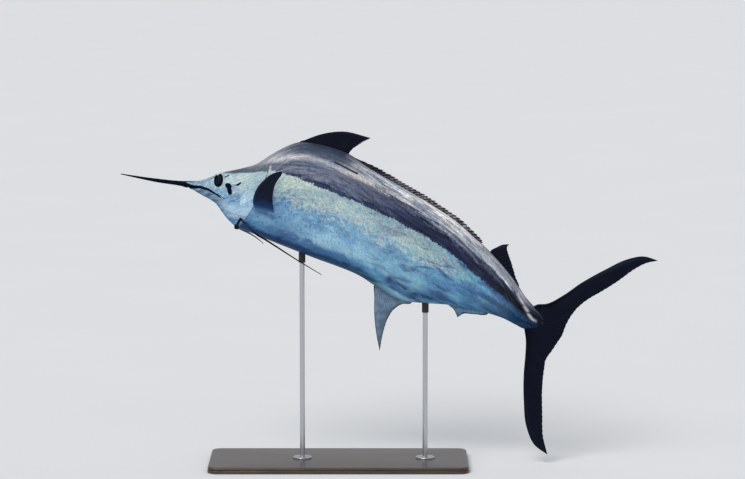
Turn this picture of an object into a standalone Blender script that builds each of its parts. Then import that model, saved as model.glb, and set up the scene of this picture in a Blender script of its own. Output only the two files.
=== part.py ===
"""A leaping marlin at life size, arched as it falls back, held on a plain display stand.

Metres, +Z up. The head points to -X and the left flank to -Y. The origin is on the
underside of the stand's base. Every outline is written in the fish's middle plane y = 0
as (x, z), and the two flanks mirror each other.
"""
import math

import bmesh
import bpy
from mathutils import Matrix, Vector

# Body landmarks from bill tip to tail root: a point on the ridge of the back, the point
# of the belly paired with it, and half the body's width between them.
BODY = (
    ((-1.228, 1.693), (-1.228, 1.688), 0.002),
    ((-1.019, 1.664), (-1.022, 1.643), 0.011),
    ((-0.860, 1.650), (-0.865, 1.617), 0.020),
    ((-0.822, 1.650), (-0.831, 1.608), 0.026),
    ((-0.770, 1.653), (-0.794, 1.587), 0.036),
    ((-0.716, 1.672), (-0.756, 1.565), 0.050),
    ((-0.661, 1.696), (-0.719, 1.545), 0.064),
    ((-0.598, 1.709), (-0.681, 1.517), 0.080),
    ((-0.529, 1.724), (-0.653, 1.478), 0.098),
    ((-0.454, 1.746), (-0.615, 1.429), 0.116),
    ((-0.374, 1.796), (-0.566, 1.385), 0.133),
    ((-0.288, 1.844), (-0.483, 1.352), 0.147),
    ((-0.201, 1.874), (-0.374, 1.307), 0.158),
    ((-0.075, 1.858), (-0.236, 1.252), 0.165),
    ((0.058, 1.816), (-0.109, 1.202), 0.165),
    ((0.190, 1.732), (0.017, 1.156), 0.160),
    ((0.316, 1.657), (0.132, 1.107), 0.150),
    ((0.443, 1.584), (0.259, 1.026), 0.138),
    ((0.569, 1.507), (0.380, 0.962), 0.122),
    ((0.690, 1.425), (0.518, 0.943), 0.104),
    ((0.805, 1.324), (0.644, 0.934), 0.086),
    ((0.903, 1.232), (0.765, 0.910), 0.068),
    ((0.983, 1.141), (0.880, 0.884), 0.055),
    ((1.052, 1.049), (0.972, 0.853), 0.045),
    ((1.104, 0.971), (1.041, 0.817), 0.040),
    ((1.141, 0.930), (1.087, 0.794), 0.034),
    ((1.184, 0.887), (1.144, 0.791), 0.022),
    ((1.222, 0.842), (1.196, 0.796), 0.008),
)
BILL_END = 2
HEAD_END = 10
CHEST_END = 15
TRUNK_END = 22
WIDEST_HEIGHT = 0.52
SECTION_POWER = 2.15

# Rings of each length of the body, and corners around a ring.
BILL_RINGS = 7
HEAD_RINGS = 15
CHEST_RINGS = 11
TRUNK_RINGS = 12
TAIL_RINGS = 13
BODY_CORNERS = 32
BILL_CORNERS = 16

# Touching pieces keep this gap.
GAP = 0.0003

# Gill covers: the head ends in a line that bows back along the flanks.
GILL_BOW = 0.045
GILL_BOW_REACH = 0.24
GILL_TOP_ANGLE = math.radians(50)
GILL_FOOT_ANGLE = math.radians(138)
GILL_COVER_LENGTH = 0.105
GILL_COVER_THICKNESS = 0.013
GILL_COVER_LIFT = 0.003
GILL_SLIT_DEPTH = 0.010
GILL_LEAN = 0.45
GILL_RADIUS = 0.12

# Mouth: the line between the jaws, from the jaw's tip to the corner, and the jaw's joint.
MOUTH_LINE = ((-0.870, 1.609), (-0.828, 1.613), (-0.768, 1.614), (-0.724, 1.602),
              (-0.680, 1.580), (-0.650, 1.560))
JAW_JOINT = ((-0.642, 1.520), (-0.655, 1.440))
MOUTH_SLIT = 0.0025
LIP_RADIUS = 0.0035

EYE_CENTRE = (-0.665, 1.660)
EYE_RADIUS = 0.030
EYE_FLATTENING = 0.80
EYE_STANDS_PROUD = 0.005
ORBIT_RADIUS = 0.0325
ORBIT_RIM = 0.0045
NOSTRILS = (((-0.706, 1.669), 0.0040), ((-0.694, 1.677), 0.0030))
NOSTRIL_DEPTH = 0.008

# Keels: two on each side of the tail root, as angles round the section.
KEEL_ANGLES = (math.radians(67.5), math.radians(112.5))
KEEL_STATION = 25
KEEL_HALF_LENGTH = 0.065
KEEL_SPREAD = math.radians(11.25)
KEEL_REACH = 0.011

# Fins. Each has its leading and trailing edges as points from root to tip, its number of
# rays and of rows along them, and half its thickness at the root.
FIN_ROOT_SINK = 0.014
FIN_EDGE_HALF = 0.0004
MEMBRANE_SHARE = 0.62
FIRST_DORSAL = {
    "leading": ((-0.203, 1.874), (-0.172, 1.886), (-0.084, 1.918), (0.048, 1.935),
                (0.206, 1.898)),
    "trailing": ((0.080, 1.806), (0.097, 1.829), (0.142, 1.861), (0.206, 1.898)),
    "rays": 11, "rows": 7, "root_half": 0.0075,
}
SECOND_DORSAL = {
    "leading": ((0.894, 1.244), (0.932, 1.268), (0.963, 1.282), (1.003, 1.284)),
    "trailing": ((1.060, 1.036), (1.045, 1.082), (1.016, 1.179), (0.994, 1.241),
                 (0.989, 1.266), (1.003, 1.284)),
    "rays": 7, "rows": 5, "root_half": 0.0050,
}
FIRST_ANAL = {
    "leading": ((0.224, 1.046), (0.226, 0.985), (0.225, 0.894), (0.231, 0.812),
                (0.241, 0.742), (0.257, 0.663)),
    "trailing": ((0.440, 0.944), (0.385, 0.936), (0.335, 0.902), (0.303, 0.850),
                 (0.281, 0.785), (0.257, 0.663)),
    "rays": 9, "rows": 7, "root_half": 0.0085,
}
SECOND_ANAL = {
    "leading": ((0.656, 0.934), (0.682, 0.908), (0.706, 0.860)),
    "trailing": ((0.884, 0.884), (0.800, 0.878), (0.740, 0.880), (0.706, 0.860)),
    "rays": 6, "rows": 4, "root_half": 0.0050,
}

# The low rear of the first dorsal fin, along the back.
RIDGE_START = (0.092, 1.798)
RIDGE_END = (0.830, 1.300)
RIDGE_HEIGHT = 0.031
RIDGE_RAKE = 0.026
RIDGE_RAYS = 26
RIDGE_NOTCH = 0.34
RIDGE_RISE = 4.0
RIDGE_LAST_RAY = 0.40
RIDGE_ROOT_HALF = 0.0050
RIDGE_RAY_HALF = 0.0012

# Tail fin: each lobe in the tail's own axes, along the axis and out from it.
TAIL_PIVOT = (1.110, 0.863)
TAIL_SLOPE = math.radians(-29)
LOBE = {"rays": 12, "rows": 10, "root_half": 0.0160, "root_share": 0.30, "end_share": 0.0}
UPPER_LOBE = {
    "leading": ((-0.010, 0.000), (0.010, 0.085), (0.058, 0.118), (0.119, 0.208),
                (0.172, 0.317), (0.261, 0.462), (0.335, 0.566), (0.415, 0.631),
                (0.497, 0.649)),
    "trailing": ((0.228, 0.000), (0.217, 0.100), (0.227, 0.185), (0.255, 0.256),
                 (0.311, 0.351), (0.349, 0.422), (0.410, 0.550), (0.441, 0.598),
                 (0.497, 0.649)),
}
LOWER_LOBE = {
    "leading": ((-0.010, 0.000), (0.014, 0.064), (0.056, 0.121), (0.100, 0.205),
                (0.137, 0.287), (0.222, 0.440), (0.310, 0.565), (0.400, 0.634),
                (0.497, 0.649)),
    "trailing": ((0.228, 0.000), (0.221, 0.105), (0.216, 0.168), (0.235, 0.221),
                 (0.257, 0.275), (0.291, 0.344), (0.352, 0.450), (0.425, 0.570),
                 (0.497, 0.649)),
}

# Pectoral fins: the root on the flank from front to back, the left fin's tip, and how far
# the edges bow forward, as parts of the span.
PECTORAL = {"rays": 9, "rows": 6, "root_half": 0.0100}
PECTORAL_ROOT = ((-0.458, 1.500), (-0.352, 1.466))
PECTORAL_TIP = (-0.290, -0.470, 1.755)
PECTORAL_BOW_FRONT = 0.145
PECTORAL_BOW_BACK = 0.066

# Pelvic fins: narrow blades on the belly's sides, as points along each.
PELVIC_LEFT = ((-0.518, -0.060, 1.430), (-0.500, -0.112, 1.410), (-0.458, -0.124, 1.366),
               (-0.392, -0.131, 1.325), (-0.199, -0.145, 1.202), (-0.073, -0.150, 1.126))
PELVIC_RIGHT = ((-0.568, -0.010, 1.400), (-0.545, 0.060, 1.366), (-0.492, 0.250, 1.312),
                (-0.456, 0.380, 1.268), (-0.428, 0.480, 1.228))
PELVIC_HALF_WIDTH = 0.0070
PELVIC_HALF_THICKNESS = 0.0035

# Stand: a flat base and two upright rods.
BASE_SIZE = (1.500, 0.620, 0.036)
BASE_MIDDLE_X = 0.020
BASE_CORNER = 0.060
BASE_EDGE = 0.006
ROD_X = (-0.190, 0.520)
ROD_TOP_Z = (1.420, 1.100)
ROD_RADIUS = 0.015
ROD_SIDES = 24
FLANGE_RADIUS = 0.055
FLANGE_HEIGHT = 0.012

COLOURS = {
    "back": ((0.045, 0.050, 0.080), 0.30),
    "head": ((0.330, 0.380, 0.400), 0.32),
    "flank": ((0.240, 0.360, 0.480), 0.30),
    "fin": ((0.020, 0.024, 0.040), 0.35),
    "belly_fin": ((0.075, 0.105, 0.150), 0.38),
    "bill": ((0.050, 0.055, 0.070), 0.35),
    "eye": ((0.010, 0.012, 0.020), 0.08),
    "base": ((0.030, 0.026, 0.024), 0.35),
    "steel": ((0.560, 0.570, 0.590), 0.25),
}


def spline(points, fraction, knots=None):
    """A smooth curve through points; fraction runs over the knots, or from 0 to 1."""
    if knots is None:
        knots = chord_knots(points)
        fraction *= knots[-1]
    last = len(points) - 1
    k = 0
    while k < last - 1 and fraction > knots[k + 1]:
        k += 1
    step = knots[k + 1] - knots[k]
    t = (fraction - knots[k]) / step
    start, end = points[k], points[k + 1]
    leave, arrive = slope(points, knots, k), slope(points, knots, k + 1)
    return (start * (2 * t**3 - 3 * t**2 + 1) + leave * (step * (t**3 - 2 * t**2 + t))
            + end * (3 * t**2 - 2 * t**3) + arrive * (step * (t**3 - t**2)))


def slope(points, knots, k):
    """The curve's slope at a knot, from its neighbours."""
    last = len(points) - 1
    if k == 0:
        return (points[1] - points[0]) / (knots[1] - knots[0])
    if k == last:
        return (points[last] - points[last - 1]) / (knots[last] - knots[last - 1])
    before, after = knots[k] - knots[k - 1], knots[k + 1] - knots[k]
    into = (points[k] - points[k - 1]) / before
    out = (points[k + 1] - points[k]) / after
    return (into * after + out * before) / (before + after)


def chord_knots(points):
    """Distances along a row of points."""
    knots = [0.0]
    for before, after in zip(points, points[1:]):
        knots.append(knots[-1] + (after - before).length)
    return knots


def flat_points(pairs):
    """Points of the middle plane from (x, z) pairs."""
    return [Vector((x, 0.0, z)) for x, z in pairs]


BACK = flat_points(row[0] for row in BODY)
BELLY = flat_points(row[1] for row in BODY)
HALF_WIDTH = [Vector((row[2], 0.0, 0.0)) for row in BODY]
STATION = chord_knots([(b + v) / 2 for b, v in zip(BACK, BELLY)])


def section(s):
    """Back point, belly point and half width at the distance s along the body."""
    return (spline(BACK, s, STATION), spline(BELLY, s, STATION),
            spline(HALF_WIDTH, s, STATION).x)


def body_point(s, angle, grow=0.0):
    """A point of the skin: angle 0 is the back, 90 degrees the left flank."""
    back, belly, half_width = section(s)
    up = (back - belly).normalized()
    widest = belly.lerp(back, WIDEST_HEIGHT)
    power = 2.0 / SECTION_POWER
    rise = math.copysign(abs(math.cos(angle)) ** power, math.cos(angle))
    side = math.copysign(abs(math.sin(angle)) ** power, math.sin(angle))
    reach = (back - widest).length if rise > 0.0 else (belly - widest).length
    out = half_width + grow + keel(s, angle)
    return widest + up * (rise * (reach + grow)) + Vector((0.0, -side * out, 0.0))


def keel(s, angle):
    """How far the keels stand out from the flank."""
    turn = math.acos(math.cos(angle))
    near = min(abs(turn - middle) for middle in KEEL_ANGLES)
    off = (s - STATION[KEEL_STATION]) / KEEL_HALF_LENGTH
    return KEEL_REACH * max(0.0, 1 - off * off) * max(0.0, 1 - near / KEEL_SPREAD)


def bowed(s, angle):
    """Rings near the gill opening bow back along the flanks."""
    away = min(1.0, abs(s - STATION[HEAD_END]) / GILL_BOW_REACH)
    return s + GILL_BOW * math.sin(angle) ** 2 * math.cos(away * math.pi / 2) ** 2


def flank_place(x, z):
    """The body distance and angle of the left flank's point at (x, z)."""
    low, high = STATION[0], STATION[-1]
    for _ in range(40):
        s = (low + high) / 2
        back, belly, _width = section(s)
        across = (back.x - belly.x) * (z - belly.z) - (back.z - belly.z) * (x - belly.x)
        if across < 0.0:
            low = s
        else:
            high = s
    back, belly, _width = section(s)
    height = (Vector((x, 0.0, z)) - belly).dot(back - belly) / (back - belly).length_squared
    if height > WIDEST_HEIGHT:
        rise = (height - WIDEST_HEIGHT) / (1 - WIDEST_HEIGHT)
    else:
        rise = (height - WIDEST_HEIGHT) / WIDEST_HEIGHT
    rise = max(-1.0, min(1.0, rise))
    cosine = math.copysign(abs(rise) ** (SECTION_POWER / 2), rise)
    return s, math.acos(cosine)


def flank_point(x, z, side=-1, grow=0.0):
    """The skin's point at (x, z), on the left for side -1 and the right for +1."""
    s, angle = flank_place(x, z)
    return body_point(s, -side * angle, grow)


def flank_normal(x, z, side=-1):
    """The direction out of the skin at (x, z)."""
    s, angle = flank_place(x, z)
    nudge = 0.002
    along = body_point(s + nudge, -side * angle) - body_point(s - nudge, -side * angle)
    around = body_point(s, -side * angle + nudge) - body_point(s, -side * angle - nudge)
    normal = along.cross(around).normalized()
    return normal if normal.y * side > 0.0 else -normal


def rings_between(first, last, count):
    """Body distances of a number of rings, first and last included."""
    return [first + (last - first) * k / (count - 1) for k in range(count)]


HEAD_FROM = STATION[BILL_END] + GAP
HEAD_TO = STATION[HEAD_END]
CHEST_FROM = HEAD_TO + 3 * GAP
CHEST_TO = STATION[CHEST_END]
TRUNK_FROM = CHEST_TO + GAP
TRUNK_TO = STATION[TRUNK_END]
TAIL_FROM = TRUNK_TO + GAP
TAIL_TO = STATION[-1]
LENGTHS = {
    "head": rings_between(HEAD_FROM, HEAD_TO, HEAD_RINGS),
    "torso_front": rings_between(CHEST_FROM, CHEST_TO, CHEST_RINGS),
    "torso_rear": rings_between(TRUNK_FROM, TRUNK_TO, TRUNK_RINGS),
    "tail_stock": rings_between(TAIL_FROM, TAIL_TO, TAIL_RINGS),
}


def collection(name):
    """A new collection in the scene."""
    group = bpy.data.collections.new(name)
    bpy.context.scene.collection.children.link(group)
    return group


def material(name):
    """A Principled material of one of the named colours."""
    found = bpy.data.materials.get(name)
    if found:
        return found
    colour, roughness = COLOURS[name]
    made = bpy.data.materials.new(name)
    made.use_nodes = True
    shader = made.node_tree.nodes["Principled BSDF"]
    shader.inputs["Base Color"].default_value = (*colour, 1.0)
    shader.inputs["Roughness"].default_value = roughness
    shader.inputs["Metallic"].default_value = 1.0 if name == "steel" else 0.0
    return made


def new_object(name, mesh, group, colour=None):
    """An object in a group; without a colour it is a cutter."""
    made = bpy.data.objects.new(name, mesh)
    group.objects.link(made)
    if colour:
        mesh.materials.clear()
        mesh.materials.append(material(colour))
    else:
        made.hide_render = True
        made.display_type = "WIRE"
    return made


def mesh_from(name, shape):
    """A mesh from a bmesh, with its faces turned out."""
    bmesh.ops.recalc_face_normals(shape, faces=shape.faces)
    mesh = bpy.data.meshes.new(name)
    shape.to_mesh(mesh)
    shape.free()
    return mesh


def loft(name, rings):
    """A closed mesh over rings of points, with a fan on each end."""
    shape = bmesh.new()
    rows = [[shape.verts.new(point) for point in ring] for ring in rings]
    corners = len(rings[0])
    for near, far in zip(rows, rows[1:]):
        for k in range(corners):
            n = (k + 1) % corners
            shape.faces.new((near[k], near[n], far[n], far[k]))
    for row in (rows[0], rows[-1]):
        middle = shape.verts.new(sum((v.co for v in row), Vector()) / corners)
        for k in range(corners):
            shape.faces.new((row[k], row[(k + 1) % corners], middle))
    return mesh_from(name, shape)


def body_ring(s, corners, grow=0.0, slit=0.0):
    """One ring of the skin, drawn in by a slit along the flanks."""
    ring = []
    for k in range(corners):
        angle = 2 * math.pi * k / corners
        inset = slit * math.sin(angle) ** 4
        ring.append(body_point(bowed(s, angle), angle, grow - inset))
    return ring


def slab(name, front, back):
    """A closed mesh between two like grids of points, split into triangles alike."""
    shape = bmesh.new()
    rows, columns = len(front), len(front[0])
    faces = [[[shape.verts.new(p) for p in row] for row in grid] for grid in (front, back)]
    for grid in faces:
        for i in range(rows - 1):
            for j in range(columns - 1):
                a, b = grid[i][j], grid[i][j + 1]
                c, d = grid[i + 1][j + 1], grid[i + 1][j]
                shape.faces.new((a, b, c))
                shape.faces.new((a, c, d))
    rim = [(0, j) for j in range(columns)]
    rim += [(i, columns - 1) for i in range(1, rows)]
    rim += [(rows - 1, j) for j in range(columns - 2, -1, -1)]
    rim += [(i, 0) for i in range(rows - 2, 0, -1)]
    for here, there in zip(rim, rim[1:] + rim[:1]):
        a, b = faces[0][here[0]][here[1]], faces[0][there[0]][there[1]]
        c, d = faces[1][there[0]][there[1]], faces[1][here[0]][here[1]]
        shape.faces.new((a, b, c))
        shape.faces.new((a, c, d))
    return mesh_from(name, shape)


def evaluated_mesh(thing):
    """A copy of the object's mesh with its modifiers applied, in world space."""
    bpy.context.view_layer.update()
    seen = thing.evaluated_get(bpy.context.evaluated_depsgraph_get())
    mesh = bpy.data.meshes.new_from_object(seen)
    mesh.transform(thing.matrix_world)
    return mesh


def remove(thing):
    """Take an object out of the scene."""
    bpy.data.objects.remove(thing, do_unlink=True)


def keep_largest(mesh):
    """Keep only the largest closed surface of a mesh."""
    shape = bmesh.new()
    shape.from_mesh(mesh)
    left = set(shape.faces)
    shells = []
    while left:
        todo = [left.pop()]
        shell = []
        while todo:
            face = todo.pop()
            shell.append(face)
            for edge in face.edges:
                for other in edge.link_faces:
                    if other in left:
                        left.remove(other)
                        todo.append(other)
        shells.append(shell)
    shells.sort(key=lambda shell: sum(face.calc_area() for face in shell))
    for shell in shells[:-1]:
        bmesh.ops.delete(shape, geom=shell, context="FACES")
    shape.to_mesh(mesh)
    shape.free()


def combine(thing, operation, others):
    """Join, cut or cross an object with others, apply it, and remove the others."""
    helpers = bpy.data.collections.new("helpers")
    bpy.context.scene.collection.children.link(helpers)
    for other in others:
        for group in list(other.users_collection):
            group.objects.unlink(other)
        helpers.objects.link(other)
    boolean = thing.modifiers.new("combine", "BOOLEAN")
    boolean.operation = operation
    boolean.solver = "EXACT"
    boolean.operand_type = "COLLECTION"
    boolean.collection = helpers
    mesh = evaluated_mesh(thing)
    thing.modifiers.remove(boolean)
    thing.matrix_world = Matrix.Identity(4)
    keep_largest(mesh)
    thing.data = mesh
    for other in others:
        remove(other)
    bpy.data.collections.remove(helpers)


def copy_of(thing, group):
    """A cutter with the same shape as an object."""
    return new_object(thing.name + "_copy", thing.data.copy(), group)


def primitive(name, group, make, colour=None, **sizes):
    """A Blender primitive in a group."""
    make(**sizes)
    made = bpy.context.object
    for old in list(made.users_collection):
        old.objects.unlink(made)
    made.name = name
    mesh = made.data
    remove(made)
    return new_object(name, mesh, group, colour)


def facing(place, direction):
    """A matrix that puts +Z along a direction at a place."""
    turn = direction.to_track_quat("Z", "Y").to_matrix().to_4x4()
    return Matrix.Translation(place) @ turn


def tube_mesh(name, points, radius):
    """A closed mesh along points, from a curve with a bevel."""
    curve = bpy.data.curves.new(name, "CURVE")
    curve.dimensions = "3D"
    curve.bevel_depth = radius
    curve.bevel_resolution = 1
    curve.use_fill_caps = True
    line = curve.splines.new("POLY")
    line.points.add(len(points) - 1)
    for knot, point in zip(line.points, points):
        knot.co = (*point, 1.0)
    guide = bpy.data.objects.new(name, curve)
    bpy.context.scene.collection.objects.link(guide)
    mesh = evaluated_mesh(guide)
    remove(guide)
    shape = bmesh.new()
    shape.from_mesh(mesh)
    bmesh.ops.remove_doubles(shape, verts=shape.verts, dist=0.00001)
    return mesh_from(name, shape)


def prism(name, outline, half_depth, group):
    """A cutter: an outline of the middle plane, extruded to both sides."""
    curve = bpy.data.curves.new(name, "CURVE")
    curve.dimensions = "2D"
    curve.fill_mode = "BOTH"
    curve.extrude = half_depth
    line = curve.splines.new("POLY")
    line.use_cyclic_u = True
    line.points.add(len(outline) - 1)
    for knot, (x, z) in zip(line.points, outline):
        knot.co = (x, z, 0.0, 1.0)
    guide = bpy.data.objects.new(name, curve)
    bpy.context.scene.collection.objects.link(guide)
    guide.rotation_euler = (math.pi / 2, 0.0, 0.0)
    mesh = evaluated_mesh(guide)
    remove(guide)
    shape = bmesh.new()
    shape.from_mesh(mesh)
    bmesh.ops.remove_doubles(shape, verts=shape.verts, dist=0.00001)
    return new_object(name, mesh_from(name, shape), group)


def grown_body(group):
    """A cutter: the whole body from the snout back, larger by the gap."""
    rings = [s for length in LENGTHS.values() for s in length]
    mesh = loft("grown_body", [body_ring(s, BODY_CORNERS, 1.35 * GAP) for s in rings])
    return new_object("grown_body", mesh, group)


def make_bill(group):
    """The round spear of the upper jaw."""
    stations = rings_between(STATION[0], STATION[BILL_END], BILL_RINGS)
    rings = [body_ring(s, BILL_CORNERS) for s in stations]
    return new_object("bill", loft("bill", rings), group, "bill")


def make_length(name, group, colour):
    """One length of the body between two ring cuts."""
    rings = []
    for k, s in enumerate(LENGTHS[name]):
        slit = GILL_SLIT_DEPTH if name == "torso_front" and k == 0 else 0.0
        rings.append(body_ring(s, BODY_CORNERS, 0.0, slit))
    return new_object(name, loft(name, rings), group, colour)


def gill_patch(side, inner, outer, spread):
    """The slab of a gill cover, between two depths, widened by a spread on all edges."""
    rows, columns = 7, 11
    grids = ([], [])
    edge = spread / GILL_RADIUS
    turn = GILL_FOOT_ANGLE - GILL_TOP_ANGLE + 2 * edge
    for i in range(rows):
        along = i / (rows - 1)
        ahead = (GILL_COVER_LENGTH + 3 * spread) * (1 - along) - spread * along
        for grid in grids:
            grid.append([])
        for j in range(columns):
            angle = GILL_TOP_ANGLE - edge + turn * j / (columns - 1)
            s = bowed(HEAD_TO, angle) - ahead
            lift = outer * along if spread == 0.0 else outer
            for grid, rise in zip(grids, (lift, -inner)):
                grid[-1].append(body_point(s + GILL_LEAN * rise, -side * angle, rise))
    return grids


def make_gill_cover(side, head, group, cutters):
    """One gill cover, let into a recess of the head."""
    name = "gill_cover_left" if side < 0 else "gill_cover_right"
    recess = gill_patch(side, GILL_COVER_THICKNESS + GAP, 0.02, 2 * GAP)
    combine(head, "DIFFERENCE", [new_object("recess", slab("recess", *recess), cutters)])
    plate = gill_patch(side, GILL_COVER_THICKNESS, GILL_COVER_LIFT, 0.0)
    return new_object(name, slab(name, *plate), group, "head")


def jaw_outline(spread):
    """The lower jaw's outline in the middle plane, lowered by a spread for the slit."""
    upper = [(x, z + spread) for x, z in MOUTH_LINE]
    joint = [(x + spread, z) for x, z in JAW_JOINT]
    return upper + joint + [(-0.90, 1.44), (-0.90, 1.609 + spread)]


def lip(name, lift, group):
    """A bead along one side of the mouth, on both flanks."""
    beads = []
    for side in (-1, 1):
        points = []
        for x, z in MOUTH_LINE[1:]:
            points.append(flank_point(x, z + lift, side, -0.4 * LIP_RADIUS))
        beads.append(new_object(name, tube_mesh(name, points, LIP_RADIUS), group))
    return beads


def make_lower_jaw(head, group, cutters):
    """The lower jaw, cut from the head under the line of the mouth."""
    jaw = new_object("lower_jaw", head.data.copy(), group, "head")
    combine(jaw, "UNION", lip("lower_lip", -1.2 * LIP_RADIUS, cutters))
    combine(jaw, "INTERSECT", [prism("jaw_shape", jaw_outline(0.0), 0.2, cutters)])
    combine(head, "UNION", lip("upper_lip", MOUTH_SLIT + 0.8 * LIP_RADIUS, cutters))
    combine(head, "DIFFERENCE", [prism("slit", jaw_outline(MOUTH_SLIT), 0.2, cutters)])
    return jaw


def make_eye(side, head, group, cutters):
    """One eye in its socket, with the rim of the orbit raised round it."""
    name = "eye_left" if side < 0 else "eye_right"
    skin = flank_point(*EYE_CENTRE, side)
    normal = flank_normal(*EYE_CENTRE, side)
    middle = skin - normal * (EYE_RADIUS * EYE_FLATTENING - EYE_STANDS_PROUD)
    rim = primitive("rim", cutters, bpy.ops.mesh.primitive_torus_add, major_segments=28,
                    minor_segments=8, major_radius=ORBIT_RADIUS, minor_radius=ORBIT_RIM)
    rim.data.transform(facing(skin - normal * 0.001, normal))
    combine(head, "UNION", [rim])
    balls = []
    for spread in (GAP, 0.0):
        ball = primitive(name, cutters, bpy.ops.mesh.primitive_uv_sphere_add, segments=20,
                         ring_count=10, radius=EYE_RADIUS + spread)
        flat = Matrix.Diagonal((1.0, 1.0, EYE_FLATTENING, 1.0))
        ball.data.transform(facing(middle, normal) @ flat)
        balls.append(ball)
    mesh = balls[1].data
    remove(balls[1])
    combine(head, "DIFFERENCE", [balls[0]])
    return new_object(name, mesh, group, "eye")


def cut_nostrils(side, head, cutters):
    """Two small pits before the eye."""
    for (x, z), radius in NOSTRILS:
        pit = primitive("pit", cutters, bpy.ops.mesh.primitive_cylinder_add, vertices=10,
                        radius=radius, depth=2 * NOSTRIL_DEPTH)
        pit.data.transform(facing(flank_point(x, z, side), flank_normal(x, z, side)))
        combine(head, "DIFFERENCE", [pit])


def fin_grids(fin, leading, trailing, side_way):
    """Front and back grids of a fin whose rays run from its root out to its trailing edge.

    leading and trailing are curves from root to tip. A ray starts part way along the root,
    keeps beside the leading edge, and swings out to meet the trailing edge.
    """
    columns = 2 * fin["rays"] + 1
    rows = fin["rows"]
    root_share, end_share = fin.get("root_share", 1.0), fin.get("end_share", 0.05)
    grids = ([], [])
    for i in range(rows + 1):
        out = i / rows
        for grid in grids:
            grid.append([])
        for j in range(columns):
            ray = j / (columns - 1)
            span = out * (1 - (1 - end_share) * ray)
            start = root_share * ray
            swing = out ** (1 + 2.5 * (1 - ray))
            chord = 0.0 if j == 0 else start + (1 - start) * swing
            middle = leading(span).lerp(trailing(span), chord)
            body = fin["root_half"] * (1 - span) ** 0.8 * (1 - 0.6 * chord)
            half = FIN_EDGE_HALF + body * (1.0 if j % 2 == 0 else MEMBRANE_SHARE)
            if j in (0, columns - 1):
                half = FIN_EDGE_HALF + 0.35 * body
            if i == rows:
                half = FIN_EDGE_HALF
            grids[0][-1].append(middle + side_way * half)
            grids[1][-1].append(middle - side_way * half)
    return grids


def sunk(x, z, belly):
    """A fin's root point, under the skin of the back or the belly beside (x, z)."""
    back, foot, _width = section(flank_place(x, z)[0])
    up = (back - foot).normalized()
    return foot + up * FIN_ROOT_SINK if belly else back - up * FIN_ROOT_SINK


def median_fin(name, fin, belly, group, colour):
    """A fin standing in the middle plane, rooted under the skin."""
    leading = [sunk(*fin["leading"][0], belly)] + flat_points(fin["leading"])
    trailing = [sunk(*fin["trailing"][0], belly)] + flat_points(fin["trailing"])
    grids = fin_grids(fin, lambda t: spline(leading, t), lambda t: spline(trailing, t),
                      Vector((0.0, -1.0, 0.0)))
    return new_object(name, slab(name, *grids), group, colour)


def make_ridge(group):
    """The low rear of the first dorsal fin: short raked rays with notches between."""
    first, last = flank_place(*RIDGE_START)[0], flank_place(*RIDGE_END)[0]
    columns = 2 * RIDGE_RAYS + 1
    grids = ([], [])
    for out in (0.0, 0.5, 1.0):
        for grid in grids:
            grid.append([])
        for j in range(columns):
            over = j / (columns - 1)
            s = first + (last - first) * over
            back, foot, _width = section(s)
            up = (back - foot).normalized()
            ahead = (section(s + 0.01)[0] - back).normalized()
            ends = min(1.0, (RIDGE_RISE * over) ** 3, RIDGE_LAST_RAY + 12 * (1 - over))
            height = RIDGE_HEIGHT * (1 - 0.25 * over) * ends
            height *= 1.0 if j % 2 == 0 else 1.0 - RIDGE_NOTCH
            tip = back + up * height + ahead * RIDGE_RAKE * height / RIDGE_HEIGHT
            point = (back - up * FIN_ROOT_SINK).lerp(tip, out)
            crest = 1.0 if j % 2 == 0 else MEMBRANE_SHARE
            half = FIN_EDGE_HALF + RIDGE_ROOT_HALF * (1 - out) * crest
            if out == 0.5 and j % 2 == 0:
                half += RIDGE_RAY_HALF
            grids[0][-1].append(point + Vector((0.0, -half, 0.0)))
            grids[1][-1].append(point + Vector((0.0, half, 0.0)))
    return new_object("dorsal_fin_ridge", slab("dorsal_fin_ridge", *grids), group, "fin")


def tail_place(along, up, mirror):
    """A point of the tail fin from its own axes."""
    pivot = Vector((TAIL_PIVOT[0], 0.0, TAIL_PIVOT[1]))
    ahead = Vector((math.cos(TAIL_SLOPE), 0.0, math.sin(TAIL_SLOPE)))
    above = Vector((-math.sin(TAIL_SLOPE), 0.0, math.cos(TAIL_SLOPE)))
    return pivot + ahead * along + above * (up * mirror)


def make_tail_lobe(name, lobe, mirror, group):
    """One lobe of the tail fin, parted from the other along the tail's axis."""
    half_gap = 0.5 * GAP
    leading = [tail_place(a, max(b, half_gap), mirror) for a, b in lobe["leading"]]
    trailing = [tail_place(a, max(b, half_gap), mirror) for a, b in lobe["trailing"]]
    grids = fin_grids(LOBE, lambda t: spline(leading, t), lambda t: spline(trailing, t),
                      Vector((0.0, -1.0, 0.0)))
    return new_object(name, slab(name, *grids), group, "fin")


def make_pectoral(side, group):
    """A stiff pectoral fin, raised out from the flank."""
    name = "pectoral_fin_left" if side < 0 else "pectoral_fin_right"
    front = flank_point(*PECTORAL_ROOT[0], side, -FIN_ROOT_SINK)
    back = flank_point(*PECTORAL_ROOT[1], side, -FIN_ROOT_SINK)
    tip = Vector((PECTORAL_TIP[0], -side * PECTORAL_TIP[1], PECTORAL_TIP[2]))
    span = tip - front
    ahead = (front - back).normalized() * span.length
    leading = [front, front.lerp(tip, 0.5) + ahead * PECTORAL_BOW_FRONT, tip]
    trailing = [back, back.lerp(tip, 0.5) + ahead * PECTORAL_BOW_BACK, tip]
    grids = fin_grids(PECTORAL, lambda t: spline(leading, t), lambda t: spline(trailing, t),
                      span.cross(ahead).normalized())
    return new_object(name, slab(name, *grids), group, "fin")


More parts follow.
